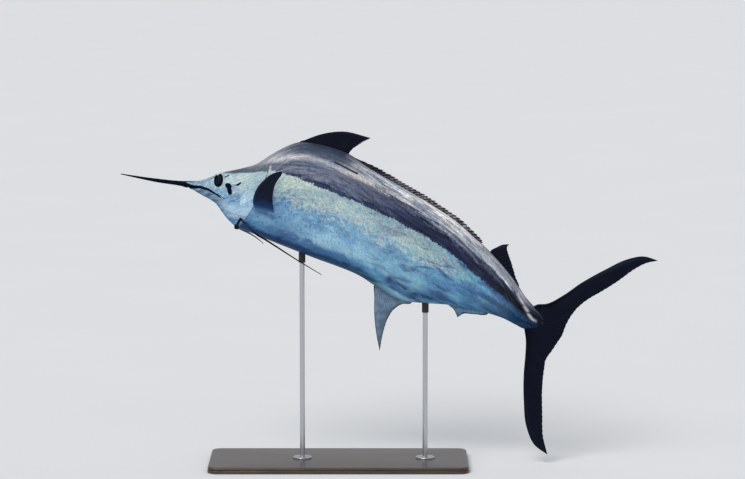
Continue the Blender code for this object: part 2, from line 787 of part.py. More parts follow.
def make_pelvic(name, path, group):
    """A pelvic fin: a narrow tapering blade of a few rays bound together."""
    points = [Vector(point) for point in path]
    steps = 12
    corners = 10
    rings = []
    for k in range(steps + 1):
        t = k / steps
        middle = spline(points, t)
        ahead = (spline(points, min(1.0, t + 0.02)) - spline(points, max(0.0, t - 0.02)))
        flat = Vector((0.0, 1.0, 0.0)).cross(ahead).normalized()
        out = ahead.cross(flat).normalized()
        taper = 1.0 - 0.72 * t
        ring = []
        for c in range(corners):
            angle = 2 * math.pi * c / corners
            bulge = 1.0 if c % 2 == 0 else 0.86
            ring.append(middle + flat * (math.cos(angle) * PELVIC_HALF_WIDTH * taper * bulge)
                        + out * (math.sin(angle) * PELVIC_HALF_THICKNESS * taper * bulge))
        rings.append(ring)
    return new_object(name, loft(name, rings), group, "fin")


def make_base(group):
    """The stand's flat base, with rounded corners and a softened edge."""
    long, wide, high = BASE_SIZE
    base = primitive("stand_base", group, bpy.ops.mesh.primitive_cube_add, "base", size=1.0)
    shape = bmesh.new()
    shape.from_mesh(base.data)
    bmesh.ops.scale(shape, vec=(long, wide, high), verts=shape.verts)
    bmesh.ops.translate(shape, vec=(BASE_MIDDLE_X, 0.0, high / 2), verts=shape.verts)
    upright = [e for e in shape.edges if abs(e.verts[0].co.z - e.verts[1].co.z) > 0.01]
    bmesh.ops.bevel(shape, geom=upright, offset=BASE_CORNER, segments=6, profile=0.5,
                    affect="EDGES")
    top = [e for e in shape.edges if min(v.co.z for v in e.verts) > high - 0.0001]
    bmesh.ops.bevel(shape, geom=top, offset=BASE_EDGE, segments=2, profile=0.5,
                    affect="EDGES")
    shape.to_mesh(base.data)
    shape.free()
    return base


def make_rod(name, x, top, group):
    """An upright rod from its flange to the belly."""
    bottom = BASE_SIZE[2] + GAP
    flange_top = bottom + FLANGE_HEIGHT
    flange = primitive(name + "_foot", group, bpy.ops.mesh.primitive_cylinder_add, "steel",
                       vertices=32, radius=FLANGE_RADIUS, depth=FLANGE_HEIGHT,
                       location=(0.0, 0.0, 0.0))
    flange.location = (x, 0.0, bottom + FLANGE_HEIGHT / 2)
    low = flange_top + GAP
    rod = primitive(name, group, bpy.ops.mesh.primitive_cylinder_add, "steel",
                    vertices=ROD_SIDES, radius=ROD_RADIUS, depth=top - low)
    rod.location = (x, 0.0, (top + low) / 2)
    rod.rotation_euler = (0.0, 0.0, math.pi / ROD_SIDES)
    return rod


def build():
    """The whole model."""
    for thing in list(bpy.data.objects):
        bpy.data.objects.remove(thing, do_unlink=True)
    parts = collection("marlin_on_stand")
    cutters = collection("cutters")
    make_bill(parts)
    head = make_length("head", parts, "head")
    make_length("torso_front", parts, "flank")
    make_length("torso_rear", parts, "flank")
    make_length("tail_stock", parts, "back")
    make_lower_jaw(head, parts, cutters)
    for side in (-1, 1):
        make_gill_cover(side, head, parts, cutters)
        make_eye(side, head, parts, cutters)
        cut_nostrils(side, head, cutters)
    fins = [
        median_fin("dorsal_fin_first", FIRST_DORSAL, False, parts, "fin"),
        make_ridge(parts),
        median_fin("dorsal_fin_second", SECOND_DORSAL, False, parts, "fin"),
        median_fin("anal_fin_first", FIRST_ANAL, True, parts, "belly_fin"),
        median_fin("anal_fin_second", SECOND_ANAL, True, parts, "belly_fin"),
        make_pectoral(-1, parts),
        make_pectoral(1, parts),
        make_pelvic("pelvic_fin_left", PELVIC_LEFT, parts),
        make_pelvic("pelvic_fin_right", PELVIC_RIGHT, parts),
    ]
    lobes = [make_tail_lobe("tail_fin_upper", UPPER_LOBE, 1, parts),
             make_tail_lobe("tail_fin_lower", LOWER_LOBE, -1, parts)]
    make_base(parts)
    rods = [make_rod(name, x, top, parts) for name, x, top
            in zip(("stand_rod_front", "stand_rod_rear"), ROD_X, ROD_TOP_Z)]
    grown = grown_body(cutters)
    for piece in fins + lobes + rods:
        combine(piece, "DIFFERENCE", [copy_of(grown, cutters)])
    remove(grown)


build()
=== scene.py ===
import math
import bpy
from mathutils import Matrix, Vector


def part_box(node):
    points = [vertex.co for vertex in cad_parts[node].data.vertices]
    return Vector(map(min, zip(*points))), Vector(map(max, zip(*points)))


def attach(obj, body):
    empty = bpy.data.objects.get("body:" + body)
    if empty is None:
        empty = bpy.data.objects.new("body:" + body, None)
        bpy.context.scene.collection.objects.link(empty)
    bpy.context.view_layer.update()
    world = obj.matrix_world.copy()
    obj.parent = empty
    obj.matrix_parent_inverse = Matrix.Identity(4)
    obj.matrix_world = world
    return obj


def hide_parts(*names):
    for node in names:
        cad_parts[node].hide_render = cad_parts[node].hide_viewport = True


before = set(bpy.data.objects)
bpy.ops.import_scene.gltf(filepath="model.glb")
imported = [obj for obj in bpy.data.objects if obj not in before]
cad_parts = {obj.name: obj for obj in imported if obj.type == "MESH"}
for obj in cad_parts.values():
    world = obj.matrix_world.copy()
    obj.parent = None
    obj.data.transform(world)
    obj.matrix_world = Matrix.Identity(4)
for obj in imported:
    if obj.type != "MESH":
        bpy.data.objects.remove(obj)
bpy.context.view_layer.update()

from types import SimpleNamespace

import bmesh
import bpy
import numpy as np
from mathutils import Matrix, Vector

# The leaping marlin's finish: one skin over the body, ribbed fins, wet eyes, the polished
# stand, a pale floor, soft light and the camera. Metres, head to -X, left flank to -Y.

# Body landmarks from bill tip to tail root: a point on the ridge of the back, the point
# of the belly paired with it, and half the body's width between them.
BODY = (
    ((-1.228, 1.693), (-1.228, 1.688), 0.002),
    ((-1.019, 1.664), (-1.022, 1.643), 0.011),
    ((-0.860, 1.650), (-0.865, 1.617), 0.020),
    ((-0.822, 1.650), (-0.831, 1.608), 0.026),
    ((-0.770, 1.653), (-0.794, 1.587), 0.036),
    ((-0.716, 1.672), (-0.756, 1.565), 0.050),
    ((-0.661, 1.696), (-0.719, 1.545), 0.064),
    ((-0.598, 1.709), (-0.681, 1.517), 0.080),
    ((-0.529, 1.724), (-0.653, 1.478), 0.098),
    ((-0.454, 1.746), (-0.615, 1.429), 0.116),
    ((-0.374, 1.796), (-0.566, 1.385), 0.133),
    ((-0.288, 1.844), (-0.483, 1.352), 0.147),
    ((-0.201, 1.874), (-0.374, 1.307), 0.158),
    ((-0.075, 1.858), (-0.236, 1.252), 0.165),
    ((0.058, 1.816), (-0.109, 1.202), 0.165),
    ((0.190, 1.732), (0.017, 1.156), 0.160),
    ((0.316, 1.657), (0.132, 1.107), 0.150),
    ((0.443, 1.584), (0.259, 1.026), 0.138),
    ((0.569, 1.507), (0.380, 0.962), 0.122),
    ((0.690, 1.425), (0.518, 0.943), 0.104),
    ((0.805, 1.324), (0.644, 0.934), 0.086),
    ((0.903, 1.232), (0.765, 0.910), 0.068),
    ((0.983, 1.141), (0.880, 0.884), 0.055),
    ((1.052, 1.049), (0.972, 0.853), 0.045),
    ((1.104, 0.971), (1.041, 0.817), 0.040),
    ((1.141, 0.930), (1.087, 0.794), 0.034),
    ((1.184, 0.887), (1.144, 0.791), 0.022),
    ((1.222, 0.842), (1.196, 0.796), 0.008),
)
BILL_END = 2
HEAD_END = 10
WIDEST_HEIGHT = 0.52
SECTION_POWER = 2.15

# The skin's mesh: corners round a ring, and the spacing of the rings along each length.
SKIN_CORNERS = 320
BILL_STEP = 0.0045
HEAD_STEP = 0.0022
TRUNK_STEP = 0.0052
GILL_RINGS = (-0.005, -0.0036, -0.0024, -0.0014, -0.0007, 0.0, 0.0006, 0.0012, 0.002, 0.0032,
              0.0048)

# Gill cover: the margin bows back along the flank, stands over the opening behind it, and
# its foot runs forward to the throat.
GILL_BOW = 0.045
GILL_BOW_REACH = 0.24
GILL_TOP = math.radians(38)
GILL_FOOT = math.radians(142)
GILL_TOP_FADE = 0.25
GILL_FOOT_FADE = 0.2
GILL_EDGE = (-0.0006, 0.001)
GILL_LIFT = 0.0026
GILL_SINK = 0.0045
GILL_LIFT_REACH = 0.055
GILL_SINK_REACH = 0.016
BRANCHIAL_EDGE = ((0.61, -0.02), (0.642, 0.068), (0.702, 0.15), (0.755, 0.18), (0.8, 0.2))
BRANCHIAL_STEP = 0.003
BRANCHIAL_FROM = (0.6, 0.66)
BRANCHIAL_TO = (0.815, 0.79)
BRANCHIAL_RISE = 0.03
BRANCHIAL_FALL = 0.01
BRANCHIAL_SHARP = 0.0012
PREOPERCLE = ((0.64, 0.83), (0.668, 0.7), (0.69, 0.54), (0.714, 0.399), (0.735, 0.3),
              (0.722, 0.235))
PREOPERCLE_DEPTH = 0.0016
PREOPERCLE_HALF = 0.0035

# Mouth line from the jaw's tip to its corner, the nostrils and the eye, as (x, z).
MOUTH_LINE = ((-0.87, 1.609), (-0.828, 1.613), (-0.768, 1.614), (-0.724, 1.602), (-0.68, 1.58),
              (-0.65, 1.56))
MOUTH_DEPTH = 0.0075
MOUTH_HALF = 0.0018
MOUTH_FADE = (0.012, -0.03)
MOUTH_END = 0.25
LIP_HEIGHT = 0.002
LIP_AT = 0.0055
LIP_HALF = 0.0034
NOSTRILS = (((-0.706, 1.669), 0.0046), ((-0.694, 1.677), 0.0034))
NOSTRIL_DEPTH = 0.006
NOSTRIL_RIM = 0.001
EYE_CENTRE = (-0.665, 1.66)
EYE_HALVES = (0.0235, 0.0335, 0.024)
EYE_LEAN = math.radians(-10)
EYE_RIM = 0.0035
EYE_CRISPNESS = 3.0
EYE_CLEAR = (0.024, 0.017)
EYE_OFF_CROWN = 0.02
SOCKET_EDGE = (0.0015, -0.003)
SOCKET_DEPTH = 0.012
ORBIT_GAP = 0.006
ORBIT_HEIGHT = 0.0026
ORBIT_HALF = 0.004

# Keels: two on each side of the tail root, as angles round the section.
KEEL_ANGLES = (math.radians(67.5), math.radians(112.5))
KEEL_STATION = 25
KEEL_HALF_LENGTH = 0.068
KEEL_SPREAD = math.radians(12.5)
KEEL_REACH = 0.012
KEEL_SHAPE = 1.3

# The groove along the back, and the pit round the tail's root ahead of its keels.
GROOVE_FROM = (0.9, 1.05)
GROOVE_TO = (2.35, 2.2)
GROOVE_DEPTH = 0.004
GROOVE_HALF = 0.01
GROOVE_LIP = 0.0016
GROOVE_LIP_AT = 0.02
TAIL_PIT_STATION = 24
TAIL_PIT_BEHIND = 0.012
TAIL_PIT_HALF = 0.012
TAIL_PIT_DEPTH = 0.0025
TAIL_PIT_CLEAR = 0.1

# Markings of the flank as (distance along the body, height from belly 0 to back 1).
BAND_EDGE = ((0.7, 0.83), (0.77, 0.822), (0.8, 0.808), (0.825, 0.775), (0.855, 0.745),
             (0.927, 0.692), (1.034, 0.668), (1.148, 0.644), (1.26, 0.647), (1.397, 0.673),
             (1.494, 0.677), (1.595, 0.7), (1.683, 0.696), (1.787, 0.71), (1.874, 0.687),
             (1.966, 0.665), (2.046, 0.635), (2.11, 0.592), (2.2, 0.545), (2.3, 0.505),
             (2.4, 0.475), (2.5, 0.445), (2.646, 0.4))
NAPE_LINE = ((0.56, 1.0), (0.585, 0.955), (0.608, 0.935), (0.643, 0.915), (0.69, 0.885),
             (0.76, 0.815), (0.797, 0.775), (0.83, 0.76))
# The crease along the upper back; its dark line is painted shade, CREASE_HALF to each side.
CREASE = ((1.184, 0.898), (1.215, 0.895), (1.247, 0.894), (1.285, 0.896), (1.322, 0.903))
CREASE_HALF = 0.0042
CREASE_DEPTH = 0.003
CREASE_SOFT = 0.005

# Soft strokes: the attribute that they go into, points, half width and strength. The first
# have points as the markings above, the others as (x, z).
FLANK_STROKES = (
    # Painted sheen: pale light off the wet skin, from the nape along the upper back.
    ("streak", ((0.705, 0.985), (0.74, 0.956), (0.775, 0.92), (0.819, 0.897), (0.864, 0.882),
                (0.917, 0.872), (0.978, 0.873), (1.025, 0.878), (1.084, 0.876), (1.144, 0.868),
                (1.203, 0.859), (1.294, 0.868), (1.413, 0.898)), 0.016, 1.0),
    # Painted glints of light on the tail's keels, in the next three strokes.
    ("streak", ((2.425, 0.83), (2.446, 0.79), (2.476, 0.783)), 0.0085, 1.0),
    ("streak", ((2.492, 0.75), (2.52, 0.69)), 0.0085, 1.0),
    ("streak", ((2.535, 0.61), (2.562, 0.52), (2.585, 0.47)), 0.0085, 1.0),
    ("shade", ((0.745, 0.905), (0.772, 0.886), (0.811, 0.851), (0.866, 0.818), (0.932, 0.795),
               (1.0, 0.788)), 0.0055, 0.95),
    ("shade", ((0.609, 0.962), (0.662, 0.98), (0.698, 0.97), (0.741, 0.913), (0.785, 0.846)),
     0.012, 0.75),
    ("shade", ((0.76, 0.89), (0.778, 0.83), (0.784, 0.79)), 0.0075, 0.75),
    # Painted shade under the first dorsal fin's base.
    ("shade", ((0.9, 0.99), (1.023, 0.96), (1.116, 0.948), (1.193, 0.944), (1.265, 0.948)),
     0.021, 0.72),
    # Painted shade in the skin folds above the anal fins.
    ("fold", ((1.68, 0.155), (1.76, 0.145), (1.852, 0.108), (1.927, 0.085), (2.016, 0.055),
              (2.09, 0.025)), 0.02, 1.0),
)
PLANE_STROKES = (
    # A pale strip at the gill cover's top.
    ("streak", ((-0.367, 1.752), (-0.372, 1.722)), 0.008, 1.0),
    # Painted shade between the pelvic fins.
    ("fold", ((-0.532, 1.436), (-0.508, 1.412), (-0.478, 1.386)), 0.016, 1.0),
    # Painted shade under the pectoral fin's root.
    ("fold", ((-0.45, 1.498), (-0.405, 1.482), (-0.352, 1.458)), 0.014, 0.7),
)
# How much the painted shade in the skin folds fades toward the tail, and where.
FOLD_SHADOW_FADE = 0.7
FOLD_SHADOW_FADE_AT = (1.93, 2.02)

# Dark marks of the head as strokes: (x, z) points and the stroke's half width.
HEAD_MARKS = (
    (((-0.613, 1.634), (-0.603, 1.631)), 0.014),
    (((-0.603, 1.628), (-0.601, 1.612), (-0.5985, 1.593)), 0.013),
    (((-0.627, 1.678), (-0.609, 1.687)), 0.0044),
    (((-0.558, 1.639), (-0.55, 1.641), (-0.538, 1.648)), 0.0052),
    (((-0.59, 1.637), (-0.562, 1.638)), 0.0018),
    (((-0.673, 1.583), (-0.65, 1.571), (-0.632, 1.557)), 0.0018),
    (((-0.539, 1.444), (-0.5645, 1.392)), 0.0072),
    (((-0.539, 1.444), (-0.522, 1.424), (-0.494, 1.393)), 0.0045),
    (((-0.564, 1.396), (-0.564, 1.38)), 0.014),
)
NOSTRIL_MARK = 0.003

# The bill's dark colour: where it ends, its patch on the crown and its strip over the mouth,
# how far it runs past the mouth line, and what stands for a place outside it.
BILL_DARK_TO = -0.872
CROWN_LEVEL = 1.6465
CROWN_HALF = 0.02
CROWN_TAPER = (-0.86, -0.768)
LIP_DARK = ((-0.88, 0.06), (-0.85, 0.032), (-0.825, 0.02), (-0.805, 0.0155), (-0.776, 0.0135),
            (-0.742, 0.0125), (-0.715, 0.011), (-0.685, 0.0085), (-0.664, 0.006), (-0.64, 0.0025),
            (-0.612, 0.0008))
LIP_BELOW = 0.003
JAW_CLEAR = 0.001
BILL_ALL_DARK = 0.01
OUTSIDE = 0.02

# Fins, as points of the leading and trailing edges from root to tip.
FIN_ROOT_SINK = 0.014
FIN_EDGE_HALF = 0.0004
FIRST_DORSAL = {
    "leading": ((-0.203, 1.874), (-0.172, 1.886), (-0.084, 1.918), (0.048, 1.935), (0.206, 1.898)),
    "trailing": ((0.08, 1.806), (0.097, 1.829), (0.142, 1.861), (0.206, 1.898)),
    "rays": 22, "rows": 40, "root_half": 0.0075, "notch": 0.02,
}
SECOND_DORSAL = {
    "leading": ((0.894, 1.244), (0.932, 1.268), (0.963, 1.282), (1.003, 1.284)),
    "trailing": ((1.06, 1.036), (1.045, 1.082), (1.016, 1.179), (0.994, 1.241), (0.989, 1.266),
                 (1.003, 1.284)),
    "rays": 12, "rows": 30, "root_half": 0.005, "notch": 0.06,
}
FIRST_ANAL = {
    "leading": ((0.224, 1.046), (0.226, 0.985), (0.225, 0.894), (0.231, 0.812), (0.241, 0.742),
                (0.257, 0.663)),
    "trailing": ((0.44, 0.944), (0.385, 0.936), (0.335, 0.902), (0.303, 0.85), (0.281, 0.785),
                 (0.257, 0.663)),
    "rays": 17, "rows": 40, "root_half": 0.0085, "notch": 0.016,
}
SECOND_ANAL = {
    "leading": ((0.656, 0.934), (0.682, 0.908), (0.706, 0.86)),
    "trailing": ((0.884, 0.884), (0.8, 0.878), (0.74, 0.88), (0.706, 0.86)),
    "rays": 11, "rows": 24, "root_half": 0.005, "notch": 0.03,
}
TAIL_PIVOT = (1.11, 0.863)
TAIL_SLOPE = math.radians(-29)
LOBE = {"rays": 26, "rows": 72, "root_half": 0.016, "root_share": 0.3, "end_share": 0.0,
        "notch": 0.008, "membrane": 0.88}
UPPER_LOBE = {
    "leading": ((-0.01, 0.0), (0.01, 0.085), (0.058, 0.118), (0.119, 0.208), (0.172, 0.317),
                (0.261, 0.462), (0.335, 0.566), (0.415, 0.631), (0.497, 0.649)),
    "trailing": ((0.228, 0.0), (0.217, 0.1), (0.227, 0.185), (0.255, 0.256), (0.311, 0.351),
                 (0.349, 0.422), (0.41, 0.55), (0.441, 0.598), (0.497, 0.649)),
}
LOWER_LOBE = {
    "leading": ((-0.01, 0.0), (0.014, 0.064), (0.056, 0.121), (0.1, 0.205), (0.137, 0.287),
                (0.222, 0.44), (0.31, 0.565), (0.4, 0.634), (0.497, 0.649)),
    "trailing": ((0.228, 0.0), (0.221, 0.105), (0.216, 0.168), (0.235, 0.221), (0.257, 0.275),
                 (0.291, 0.344), (0.352, 0.45), (0.425, 0.57), (0.497, 0.649)),
}
PECTORAL = {"rays": 19, "rows": 48, "root_half": 0.01, "notch": 0.006}
PECTORAL_ROOT = ((-0.458, 1.5), (-0.352, 1.466))
PECTORAL_TIP = (-0.29, -0.47, 1.755)
PECTORAL_LEADING = ((0.0, 0.0), (0.108, 0.06), (0.305, 0.112), (0.488, 0.131), (0.686, 0.117),
                    (0.857, 0.084), (0.95, 0.036), (0.988, -0.006))
PECTORAL_TRAILING = ((0.0, -0.241), (0.097, -0.21), (0.246, -0.145), (0.467, -0.075),
                     (0.648, -0.036), (0.815, -0.026), (0.93, -0.024), (0.988, -0.006))

# Every fin's rays and membranes: columns of corners to a ray, shapes and thicknesses.
RAY_COLUMNS = 6
MEMBRANE_SHARE = 0.62
RAY_SHARPNESS = 1.4
RAGGED = (0.5, 1.5)
NOTCH_FROM = (0.55, 1.0)
WHOLE_EDGE = 0.06
RAY_SWEEP = 2.5
FIN_TAPER = 0.8
REAR_THINNING = 0.6
FRONT_HALF = 0.3
FRONT_RAYS = 1.6
RIM_THINNING = 0.75
RIM_FROM = (0.8, 1.0)
JOIN_DISTANCE = 0.00002
LEFT = np.array((0.0, -1.0, 0.0))

# The low rear of the first dorsal fin.
RIDGE_START = (0.092, 1.798)
RIDGE_END = (0.83, 1.3)
RIDGE_HEIGHT = 0.031
RIDGE_RAKE = 0.08
RIDGE_RAYS = 34
RIDGE_NOTCH = 0.24
RIDGE_RISE = (0.015, 0.105)
RIDGE_LAST_RAY = 0.4
RIDGE_ROOT_HALF = 0.005
RIDGE_RAY_HALF = 0.0012
RIDGE_COLUMNS = 10
RIDGE_ROWS = 9
RIDGE_NUDGE = 0.01
RIDGE_SHARPNESS = 1.6
RIDGE_END_SLOPE = 12
RIDGE_FALL = 0.25
RIDGE_UNEVEN = (0.86, 1.06)
RIDGE_NOTCH_SHAPE = 0.6
RIDGE_MEMBRANE = 0.372

# The pelvic fins' middle lines, then their mesh, blade and the right one's knob.
PELVIC_LEFT = ((-0.518, -0.06, 1.43), (-0.5, -0.112, 1.41), (-0.458, -0.124, 1.366),
               (-0.392, -0.131, 1.325), (-0.199, -0.145, 1.202), (-0.073, -0.15, 1.126))
PELVIC_RIGHT = ((-0.569, -0.032, 1.393), (-0.545, 0.06, 1.366), (-0.492, 0.25, 1.312),
                (-0.456, 0.38, 1.268), (-0.428, 0.48, 1.228))
PELVIC_GRID = (140, 28)
PELVIC_NUDGE = 0.02
PELVIC_RAYS = 4
PELVIC_GROOVE = 0.14
PELVIC_TAPER = 0.72
PELVIC_TIP = (0.9, 0.7, 0.35)
PELVIC_HALF_WIDTH = 0.007
PELVIC_HALF_THICKNESS = 0.0035
PELVIC_KNOB = 0.0145
PELVIC_KNOB_AT = 0.035
PELVIC_KNOB_REACH = 0.022
PELVIC_KNOB_WIDTH = 0.7

# The base: chamfer, then shares of its height where the foot ends, the hollow begins
# and how tall the hollow is, then the moulding's ledge, hollow, rounded top and corners.
BASE_CHAMFER = 0.003
BASE_SHARES = (0.42, 0.5, 0.16)
BASE_LEDGE = 0.0016
BASE_HOLLOW = 0.003575
BASE_ROUND = 0.01
BASE_CORNER = 0.06
BASE_STEPS = 8
BASE_EDGE = math.radians(40)

# Rods: flange, collar, screws and the sleeve as (beyond the rod, above the belly).
TURNED_EDGE = math.radians(35)
FLANGE_SHARE = 0.45
FLANGE_CHAMFER = 0.0006
FLANGE_ROUND = 0.0035
FLANGE_STEP = 0.0042
COLLAR_FOOT = 0.5
COLLAR_REACH = 0.0105
COLLAR_LIP = ((0.0042, 0.0008), (0.0034, 0.0))
SCREW_RING = 0.72
SCREW_RISE = 0.003
SCREW_HEAD = {"segments": 28, "radius1": 0.0046, "radius2": 0.0038, "depth": 0.0022}
SCREW_CUTS = ((0.0012, 0.0), (0.0005, -0.0009))
SLEEVE_PROFILE = ((0.0004, -0.055), (0.004, -0.0535), (0.0046, -0.05), (0.0046, 0.004))

# Camera: the photograph looks at the left flank from a little above, from far off.
LENS = 150.0
SENSOR = 36.0
VIEW_DOWN = math.radians(7.0)
VIEW_TARGET = (0.2156, 0.0, 1.312)
VIEW_WIDTH = 4.284

# Light: where the key comes from, its strength and spread, and the room's own light.
KEY_FROM = (-0.45, -0.8, 0.95)
KEY_STRENGTH = 1.8
KEY_SPREAD = math.radians(35)
KEY_COLOUR = (1.0, 0.985, 0.96)
ROOM_COLOUR = (0.5, 0.515, 0.54)


def slopes(table, knots):
    """The slope of a curve at each of its knots, from the neighbours."""
    steps = np.diff(knots)[:, None]
    runs = np.diff(table, axis=0) / steps
    inner = (runs[:-1] * steps[1:] + runs[1:] * steps[:-1]) / (steps[:-1] + steps[1:])
    return np.vstack((runs[:1], inner, runs[-1:]))


def chord_knots(table):
    """Distances along rows of points."""
    return np.concatenate(([0.0], np.cumsum(np.linalg.norm(np.diff(table, axis=0), axis=1))))


def through(points, fraction, knots=None):
    """A smooth curve through rows of numbers, read at many places at once."""
    table = np.asarray(points, float)
    fraction = np.asarray(fraction, float)
    if knots is None:
        knots = chord_knots(table)
        fraction = fraction * knots[-1]
    k = np.clip(np.searchsorted(knots, fraction) - 1, 0, len(knots) - 2)
    step = (knots[k + 1] - knots[k])[..., None]
    t = (fraction - knots[k])[..., None] / step
    lean = slopes(table, knots)
    return (table[k] * (2 * t**3 - 3 * t**2 + 1) + lean[k] * (step * (t**3 - 2 * t**2 + t))
            + table[k + 1] * (3 * t**2 - 2 * t**3) + lean[k + 1] * (step * (t**3 - t**2)))


def unit(rows):
    """Rows of numbers, each made one long."""
    return rows / np.linalg.norm(rows, axis=-1, keepdims=True)


def in_plane(pairs):
    """Points of the middle plane from (x, z) pairs."""
    return np.array([(x, 0.0, z) for x, z in pairs])


BACK = in_plane(row[0] for row in BODY)
BELLY = in_plane(row[1] for row in BODY)
HALF_WIDTH = np.array([[row[2]] for row in BODY])
STATION = chord_knots((BACK + BELLY) / 2)
BODY_LENGTH = STATION[-1]
BILL_TO = STATION[BILL_END]
HEAD_TO = STATION[HEAD_END]


def section(s):
    """Back points, belly points and half widths at distances along the body."""
    return (through(BACK, s, STATION), through(BELLY, s, STATION),
            through(HALF_WIDTH, s, STATION)[..., 0])


def keel(s, angle):
    """How far the keels stand out from the flank."""
    turn = np.arccos(np.cos(angle))
    near = np.minimum(abs(turn - KEEL_ANGLES[0]), abs(turn - KEEL_ANGLES[1]))
    off = np.clip(abs(s - STATION[KEEL_STATION]) / KEEL_HALF_LENGTH, 0.0, 1.0)
    side = np.clip(near / KEEL_SPREAD, 0.0, 1.0)
    return KEEL_REACH * (1 - off**2) * (0.5 + 0.5 * np.cos(math.pi * side)) ** KEEL_SHAPE


def body_points(s, angle, grow=0.0):
    """Points of the skin: angle 0 is the back, 90 degrees the left flank."""
    s, angle = np.broadcast_arrays(np.asarray(s, float), np.asarray(angle, float))
    back, belly, half_width = section(s)
    spine = back - belly
    height = np.linalg.norm(spine, axis=-1)
    widest = belly + spine * WIDEST_HEIGHT
    power = 2.0 / SECTION_POWER
    rise = np.sign(np.cos(angle)) * abs(np.cos(angle)) ** power
    side = np.sign(np.sin(angle)) * abs(np.sin(angle)) ** power
    reach = height * np.where(rise > 0.0, 1 - WIDEST_HEIGHT, WIDEST_HEIGHT)
    out = half_width + grow + keel(s, angle)
    points = widest + spine * (rise * (reach + grow) / height)[..., None]
    points[..., 1] -= side * out
    return points


def bowed(s, angle):
    """Rings near the gill opening bow back along the flanks."""
    away = np.minimum(1.0, abs(s - HEAD_TO) / GILL_BOW_REACH)
    return s + GILL_BOW * np.sin(angle) ** 2 * np.cos(away * math.pi / 2) ** 2


def height_share(s, points):
    """How high points stand between the belly, 0, and the back, 1."""
    back, belly, _half = section(s)
    spine = back - belly
    return np.sum((points - belly) * spine, axis=-1) / np.sum(spine * spine, axis=-1)


def flank_place(x, z):
    """The body distance and angle of the left flank's point at (x, z)."""
    low, high = 0.0, BODY_LENGTH
    for _ in range(40):
        s = (low + high) / 2
        back, belly, _half = section(s)
        across = (back[0] - belly[0]) * (z - belly[2]) - (back[2] - belly[2]) * (x - belly[0])
        if across < 0.0:
            low = s
        else:
            high = s
    height = float(height_share(s, np.array((x, 0.0, z))))
    below = WIDEST_HEIGHT if height < WIDEST_HEIGHT else 1 - WIDEST_HEIGHT
    rise = max(-1.0, min(1.0, (height - WIDEST_HEIGHT) / below))
    return s, math.acos(math.copysign(abs(rise) ** (SECTION_POWER / 2), rise))


def flank_point(x, z, side=-1, grow=0.0):
    """The skin's point at (x, z), on the left for side -1 and the right for +1."""
    s, angle = flank_place(x, z)
    return body_points(s, -side * angle, grow)


def flank_normal(x, z, side=-1):
    """The direction out of the skin at (x, z)."""
    s, angle = flank_place(x, z)
    nudge = 0.002
    along = body_points(s + nudge, -side * angle) - body_points(s - nudge, -side * angle)
    around = body_points(s, -side * angle + nudge) - body_points(s, -side * angle - nudge)
    normal = Vector(np.cross(along, around)).normalized()
    return normal if normal.y * side > 0.0 else -normal


def stroke_distance(points, line):
    """Distance of each point from a line of the (x, z) plane, and the side it lies on."""
    best = np.full(points.shape[:-1], 1e9)
    sign = np.ones(points.shape[:-1])
    px, pz = points[..., 0], points[..., 2]
    for (ax, az), (bx, bz) in zip(line, line[1:]):
        dx, dz = bx - ax, bz - az
        t = np.clip(((px - ax) * dx + (pz - az) * dz) / (dx * dx + dz * dz), 0.0, 1.0)
        away = np.hypot(px - ax - t * dx, pz - az - t * dz)
        nearer = away < best
        best = np.where(nearer, away, best)
        sign = np.where(nearer, np.sign(dx * (pz - az) - dz * (px - ax)), sign)
    return best, sign


def plane_line(marks):
    """(x, z) points from marks given as distance along the body and height share."""
    table = np.array(marks)
    back, belly, _half = section(table[:, 0])
    points = belly + (back - belly) * table[:, 1:]
    return [(p[0], p[2]) for p in points]


def smooth(value, low, high):
    """A soft step from 0 at low to 1 at high."""
    t = np.clip((value - low) / (high - low), 0.0, 1.0)
    return t * t * (3 - 2 * t)


def bell(value, half):
    """A rounded hump, 1 at zero."""
    return np.exp(-((value / half) ** 2))


def set_attribute(mesh, name, values):
    """A number for each vertex, which the material's nodes read by name."""
    made = mesh.attributes.new(name, "FLOAT", "POINT")
    made.data.foreach_set("value", np.asarray(values, np.float32).ravel())


def mesh_of(name, vertices, faces):
    """A mesh from arrays of vertices and of four-cornered and three-cornered faces."""
    mesh = bpy.data.meshes.new(name)
    corners = np.concatenate([f.ravel() for f in faces]).astype(np.int32)
    counts = np.concatenate([np.full(len(f), f.shape[1]) for f in faces])
    starts = np.concatenate(([0], np.cumsum(counts)[:-1])).astype(np.int32)
    mesh.vertices.add(len(vertices))
    mesh.vertices.foreach_set("co", np.asarray(vertices, np.float32).ravel())
    mesh.loops.add(len(corners))
    mesh.loops.foreach_set("vertex_index", corners)
    mesh.polygons.add(len(counts))
    mesh.polygons.foreach_set("loop_start", starts)
    mesh.update(calc_edges=True)
    mesh.shade_smooth()
    return mesh


def tube_faces(rings, corners):
    """Faces of a grid that closes round its rings, with a fan on each end."""
    index = np.arange(rings * corners).reshape(rings, corners)
    after = np.roll(index, -1, axis=1)
    quads = np.stack((index[:-1], after[:-1], after[1:], index[1:]), axis=-1).reshape(-1, 4)
    first, last = rings * corners, rings * corners + 1
    start = np.stack((after[0], index[0], np.full(corners, first)), axis=-1)
    end = np.stack((index[-1], after[-1], np.full(corners, last)), axis=-1)
    return quads, np.concatenate((start, end))


def tube_vertices(grid):
    """The vertices that go with tube_faces: the grid, then the middle of each end."""
    flat = grid.reshape(-1, grid.shape[-1])
    return np.vstack((flat, grid[0].mean(axis=0), grid[-1].mean(axis=0)))

COOL = (0.35, 0.55, 1.0)
PLAIN = (1.0, 1.0, 1.0)
SKIN_MAP = "SkinPlace"
BAKE_MARGIN = 0.002


def placed(name, data):
    """A new object in the scene."""
    made = bpy.data.objects.new(name, data)
    bpy.context.scene.collection.objects.link(made)
    return made


def piece(name, mesh, material, replaces=()):
    """An object that rides on the model and stands for solids of the frame."""
    made = placed(name, mesh)
    mesh.materials.append(material)
    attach(made, "root")
    if replaces:
        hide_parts(*replaces)


